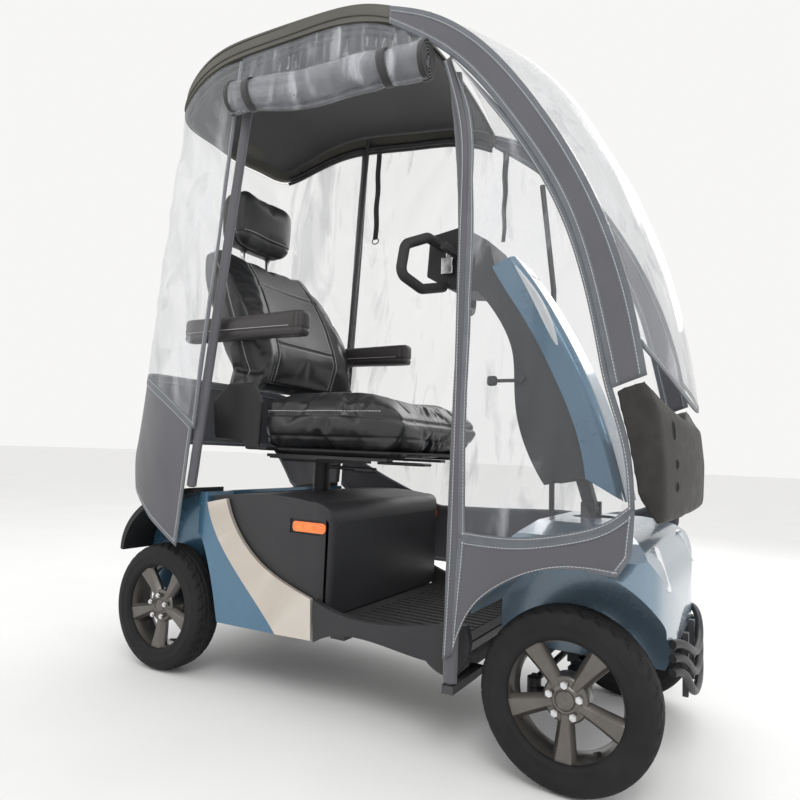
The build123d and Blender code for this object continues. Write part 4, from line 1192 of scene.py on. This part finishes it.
def back_pad():
    front = lambda z: np.interp(z, [0.70, 0.76, 0.90, 1.06, 1.196], [-0.31, -0.318, -0.345, -0.420, -0.535])

    def shape(a):
        b = a.copy()
        depth = np.clip((a[:, 0] - front(a[:, 2]) + 0.07) / 0.07, 0, 1)
        across = np.abs(a[:, 1]) / 0.235
        bolster = np.clip((across - 0.55) / 0.3, 0, 1) ** 2
        height = np.clip((1.14 - a[:, 2]) / 0.2, 0, 1)
        b[:, 0] += depth * (0.020 * bolster * height - 0.022 * (1 - across ** 2))
        lumbar = np.exp(-((a[:, 2] - 0.86) / 0.07) ** 2)
        b[:, 0] += depth * 0.010 * lumbar * (1 - across)
        top = np.clip((a[:, 2] - 1.02) / 0.17, 0, 1)
        b[:, 1] *= 1 - 0.13 * top ** 2
        waist = np.exp(-((a[:, 2] - 0.80) / 0.06) ** 2)
        b[:, 1] *= 1 - 0.04 * waist
        return b
    is_front = lambda a: a[:, 0] > front(a[:, 2]) - 0.05
    panel = lambda a: np.where(is_front(a),
                               np.abs(np.abs(a[:, 1]) - 0.135 + 0.02 * np.clip((a[:, 2] - 1.0) / 0.2, 0,
                                   1)), 1)
    across = lambda at: (lambda a: np.where(is_front(a) & (np.abs(a[:, 1]) < 0.14), np.abs(a[:, 2] - at), 1))
    side = lambda a: np.abs(a[:, 0] - front(a[:, 2]) + 0.045)
    o = padded_piece("back_pad", ["backrest"], (0.96, 0.965, 0.975), 0.0065, 0.022, shape,
                     [(panel, 0.0045, 0.005), (across(0.90), 0.004, 0.004), (across(1.08), 0.004, 0.004),
                      (side, 0.004, 0.0035)], body="back")
    lines = []
    for s in (-1, 1):
        for off in (0.007, -0.007):
            lines.append(([(0.2, s * (0.135 - 0.02 * max(0, (z - 1.0) / 0.2) + off), z)
                           for z in np.linspace(0.78, 1.17, 80)], (-1, 0, 0)))
        lines.append(([(back_x(z) - 0.037, s * 0.6, z) for z in np.linspace(0.79, 1.16, 80)], (0, -s, 0)))
    for z0 in (0.90, 1.08):
        for off in (0.007, -0.007):
            lines.append(([(0.2, y, z0 + off) for y in np.linspace(-0.128, 0.128, 50)], (-1, 0, 0)))
    sewn("back_pad_stitching", o, lines, "back")


def head_pad():
    def shape(a):
        b = a.copy()
        up = (a[:, 2] - 1.317) / 0.09
        b[:, 1] *= 1 - 0.06 * np.clip(up, 0, 1) ** 2 - 0.10 * np.clip(-up, 0, 1) ** 2
        b[:, 0] += 0.010 * (np.abs(a[:, 1]) / 0.128) ** 2 * np.where(a[:, 0] > -0.572, 1, 0)
        return b
    seam = lambda a: np.abs(a[:, 0] + 0.556)
    lower = lambda a: np.where(a[:, 0] > -0.56, np.abs(a[:, 2] - 1.262), 1)
    o = padded_piece("head_pad", ["headrest"], (0.93, 0.95, 0.97), 0.005, 0.012, shape,
                     [(seam, 0.004, 0.004), (lower, 0.004, 0.003)], body="head")
    lines = [([(-0.549, y, 1.6) for y in np.linspace(-0.10, 0.10, 50)], (0, 0, -1))]
    for s in (-1, 1):
        lines.append(([(-0.549, s * 0.4, z) for z in np.linspace(1.25, 1.38, 40)], (0, -s, 0)))
    lines.append(([(0.1, y, 1.269) for y in np.linspace(-0.11, 0.11, 50)], (-1, 0, 0)))
    sewn("head_pad_stitching", o, lines, "head")
    for s in (-1, 1):
        tube(f"head_post_{'right' if s < 0 else 'left'}",
             [(-0.572, s * 0.06, z) for z in (1.112, 1.16, 1.20, 1.25)],
             0.0062, "head", "bright")


def arm_pads():
    for s, tag in ((-1, "right"), (1, "left")):
        y0 = s * 0.265
        seam = lambda a: np.abs(a[:, 2] - 0.902)
        end = lambda a: np.abs(a[:, 0] + 0.150)
        o = padded_piece(f"arm_pad_{tag}", [f"armrest_{tag}"], (0.99, 0.93, 0.93), 0.005, 0.006, None,
                         [(seam, 0.003, 0.0028), (end, 0.003, 0.0015)], body=f"arm_{tag}", mat="arm_pad")
        lines = [([(x, y0 - 0.5, 0.908) for x in np.linspace(-0.54, -0.16, 80)], (0, 1, 0)),
                 ([(x, y0 + 0.5, 0.908) for x in np.linspace(-0.54, -0.16, 80)], (0, -1, 0))]
        sewn(f"arm_pad_stitching_{tag}", o, lines, f"arm_{tag}")


def smooth_shell(name, node, voxel, rounds, body, mat):
    """A CAD solid's shape with its hard edges melted to moulded ones."""
    o = mesh_copy(name, [node], (0.997, 0.997, 0.997))
    m = o.modifiers.new("remesh", "REMESH")
    m.mode = "VOXEL"
    m.voxel_size = voxel
    m = o.modifiers.new("relax", "SMOOTH")
    m.factor = 0.7
    m.iterations = rounds
    apply_modifiers(o)
    o.data.materials.clear()
    o.data.materials.append(M[mat])
    o.data.shade_smooth()
    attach(o, body)
    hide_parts(node)
    return o


def nose_detail():
    """The textured nose with its moulded slots and holes, rimmed, with a near-black disc in each as painted shade
    inside.
    """
    o = smooth_shell("nose_shell", "nose_moulding", 0.006, 14, "chassis", "nose_grain")
    dg = bpy.context.evaluated_depsgraph_get()
    e = o.evaluated_get(dg)
    for k, (y, z, long) in enumerate(((-0.27, 0.66, 0.016), (-0.27, 0.60, 0.008), (-0.27, 0.56, 0.008),
                                      (0.27, 0.66, 0.016), (0.27, 0.60, 0.008), (0.27, 0.56, 0.008))):
        hit, where, normal, _ = e.ray_cast(Vector((1.2, y, z)), Vector((-1, 0, 0)))
        if not hit:
            continue
        n = np.array(normal)
        u = np.cross(n, (0, 0, 1))
        u /= np.linalg.norm(u)
        v = np.cross(n, u)
        ring, cap = [], []
        for a in np.linspace(0, 2 * math.pi, 28, endpoint=False):
            d = u * math.cos(a) * 0.006 + v * math.sin(a) * long
            ring.append(np.array(where) + n * 0.0004 + d)
            cap.append(np.array(where) - n * 0.0002 + d * 0.96)
        tube(f"nose_slot_rim_{k}", ring, 0.0012, "chassis", "black_plastic", closed=True)
        # A near-black disc just under the surface, painted shade standing in for the hole's depth.
        verts = [c + n * 0.0006 for c in cap] + [c - n * 0.003 for c in cap]
        m = len(cap)
        faces = [tuple(range(m)), tuple(range(2 * m - 1, m - 1, -1))]
        faces += [(i, (i + 1) % m, m + (i + 1) % m, m + i) for i in range(m)]
        piece(f"nose_slot_{k}", verts, faces, "chassis", "hole_shade_painted", smooth=False)


def pole_sleeves():
    """Cloth sleeves sewn round the near uprights, flattened along the wall."""
    for tag, line in (("front", ((0.328, -0.336, 0.16), (0.326, -0.332, 0.6), (0.322, -0.323, 1.10),
                                 (0.308, -0.319, 1.26), (0.284, -0.312, 1.425))),
                      ("rear", ((-0.436, -0.325, 0.492), (-0.404, -0.311, 0.892), (-0.372, -0.296, 1.292),
                                (-0.342, -0.283, 1.66)))):
        pts = sample(spline(line), 60)
        tang = unit_rows(np.gradient(pts, axis=0))
        verts, sides = [], 16
        for p, t in zip(pts, tang):
            w = np.cross(t, (0, -1, 0))
            w /= np.linalg.norm(w)
            for k in range(sides):
                a = math.pi * (1.52 + 1.96 * k / (sides - 1))
                fold = 1 + 0.05 * noise.noise(Vector((p[2] * 30, a, 2.0)))
                verts.append(p + w * math.cos(a) * 0.0150 * fold + np.array([0, -1,
                    0]) * math.sin(a) * 0.0098 * fold)
        faces = grid_faces(60, sides)
        o = piece(f"pole_sleeve_{tag}", verts, faces, "chassis", "canopy_fabric", slot="canopy_fabric")


def tiller_insert():
    """The pale teardrop let into each side of the blue cowl."""
    for s, tag in ((-1, "right"), (1, "left")):
        line = spline([(0.345, 1.060), (0.385, 1.000), (0.425, 0.925), (0.452, 0.860)])
        verts, rows = [], 30
        for k in range(rows):
            v = k / (rows - 1)
            c = line(v)
            w = 0.0012 + 0.011 * math.sin(math.pi * v) ** 0.7 * (0.55 + 0.6 * v)
            q = line(min(1, v + 0.01)) - line(max(0, v - 0.01))
            q /= np.linalg.norm(q)
            for a, lift in ((-1, -0.0010), (-0.9, 0.0016), (0, 0.0024), (0.9, 0.0016), (1, -0.0010)):
                verts.append((c[0] - q[1] * w * a, s * (0.078 + lift), c[1] + q[0] * w * a))
        piece(f"tiller_insert_{tag}", verts, grid_faces(rows, 5), "tiller", "pale_insert", slot="trim", sub=1,
              solid=0.0008)


def hinge_covers():
    smooth_shell("seat_pan_shell", "seat_pan", 0.004, 3, "seat_slide", "black_plastic")


def hanging_straps():
    for tag, x, y, top, low, w0, w1 in (("rear", -0.300, 0.294, 1.655, 1.332, 0.010, 0.010),
                                        ("front", 0.166, 0.306, 1.560, 1.264, 0.010, 0.006)):
        pts = [(x + 0.0015 * math.sin(k * 0.7), y - 0.0008 * math.sin(k * 0.5), top + (low - top) * k / 24)
               for k in range(25)]
        verts = []
        for k, p in enumerate(pts):
            w = w0 + (w1 - w0) * k / 24
            for dx, dy in ((-w, -0.0006), (-w, 0.0006), (-w * 0.8, 0.0012), (w * 0.8, 0.0012), (w, 0.0006),
                           (w, -0.0006), (w * 0.8, -0.0012), (-w * 0.8, -0.0012)):
                verts.append((p[0] + dx, p[1] + dy, p[2]))
        faces = grid_faces(25, 8, False, True) + [tuple(range(7, -1, -1)), tuple(range(24 * 8, 25 * 8))]
        o = piece(f"hanging_strap_{tag}", verts, faces, "chassis", "strap", slot="strap",
                  replaces=("hanging_straps",))
        if tag == "rear":
            ring = [(x + 0.013 * math.cos(a), y, low - 0.006 + 0.010 * math.sin(a))
                    for a in np.linspace(0, 2 * math.pi, 28, endpoint=False)]
            tube("strap_ring", ring, 0.0018, "chassis", "steel_black", closed=True)


def floor():
    half = 40
    o = piece("floor", [(-half, -half, -0.0006), (half, -half, -0.0006), (half, half, -0.0006),
                        (-half, half, -0.0006)],
              [(0, 1, 2, 3)], "chassis", "floor")


M["floor"] = material("pale_floor", (0.86, 0.86, 0.855), (0.89, 0.89, 0.885), 2, (0.7, 0.8), 0,
                      ("noise", 60), 0.05,
                      0.0004)

camera()
studio()
dress_nodes()
repaint("front_cowl", "cowl_blue")
floor()
wheels()
strips()
windscreen()
front_panel()
far_side()
near_skirt()
rear_canopy()
headliner()
roof_trim()
rolled_door()
nose_detail()
pole_sleeves()
tiller_insert()
hinge_covers()
seat_pad()
back_pad()
head_pad()
arm_pads()
hanging_straps()
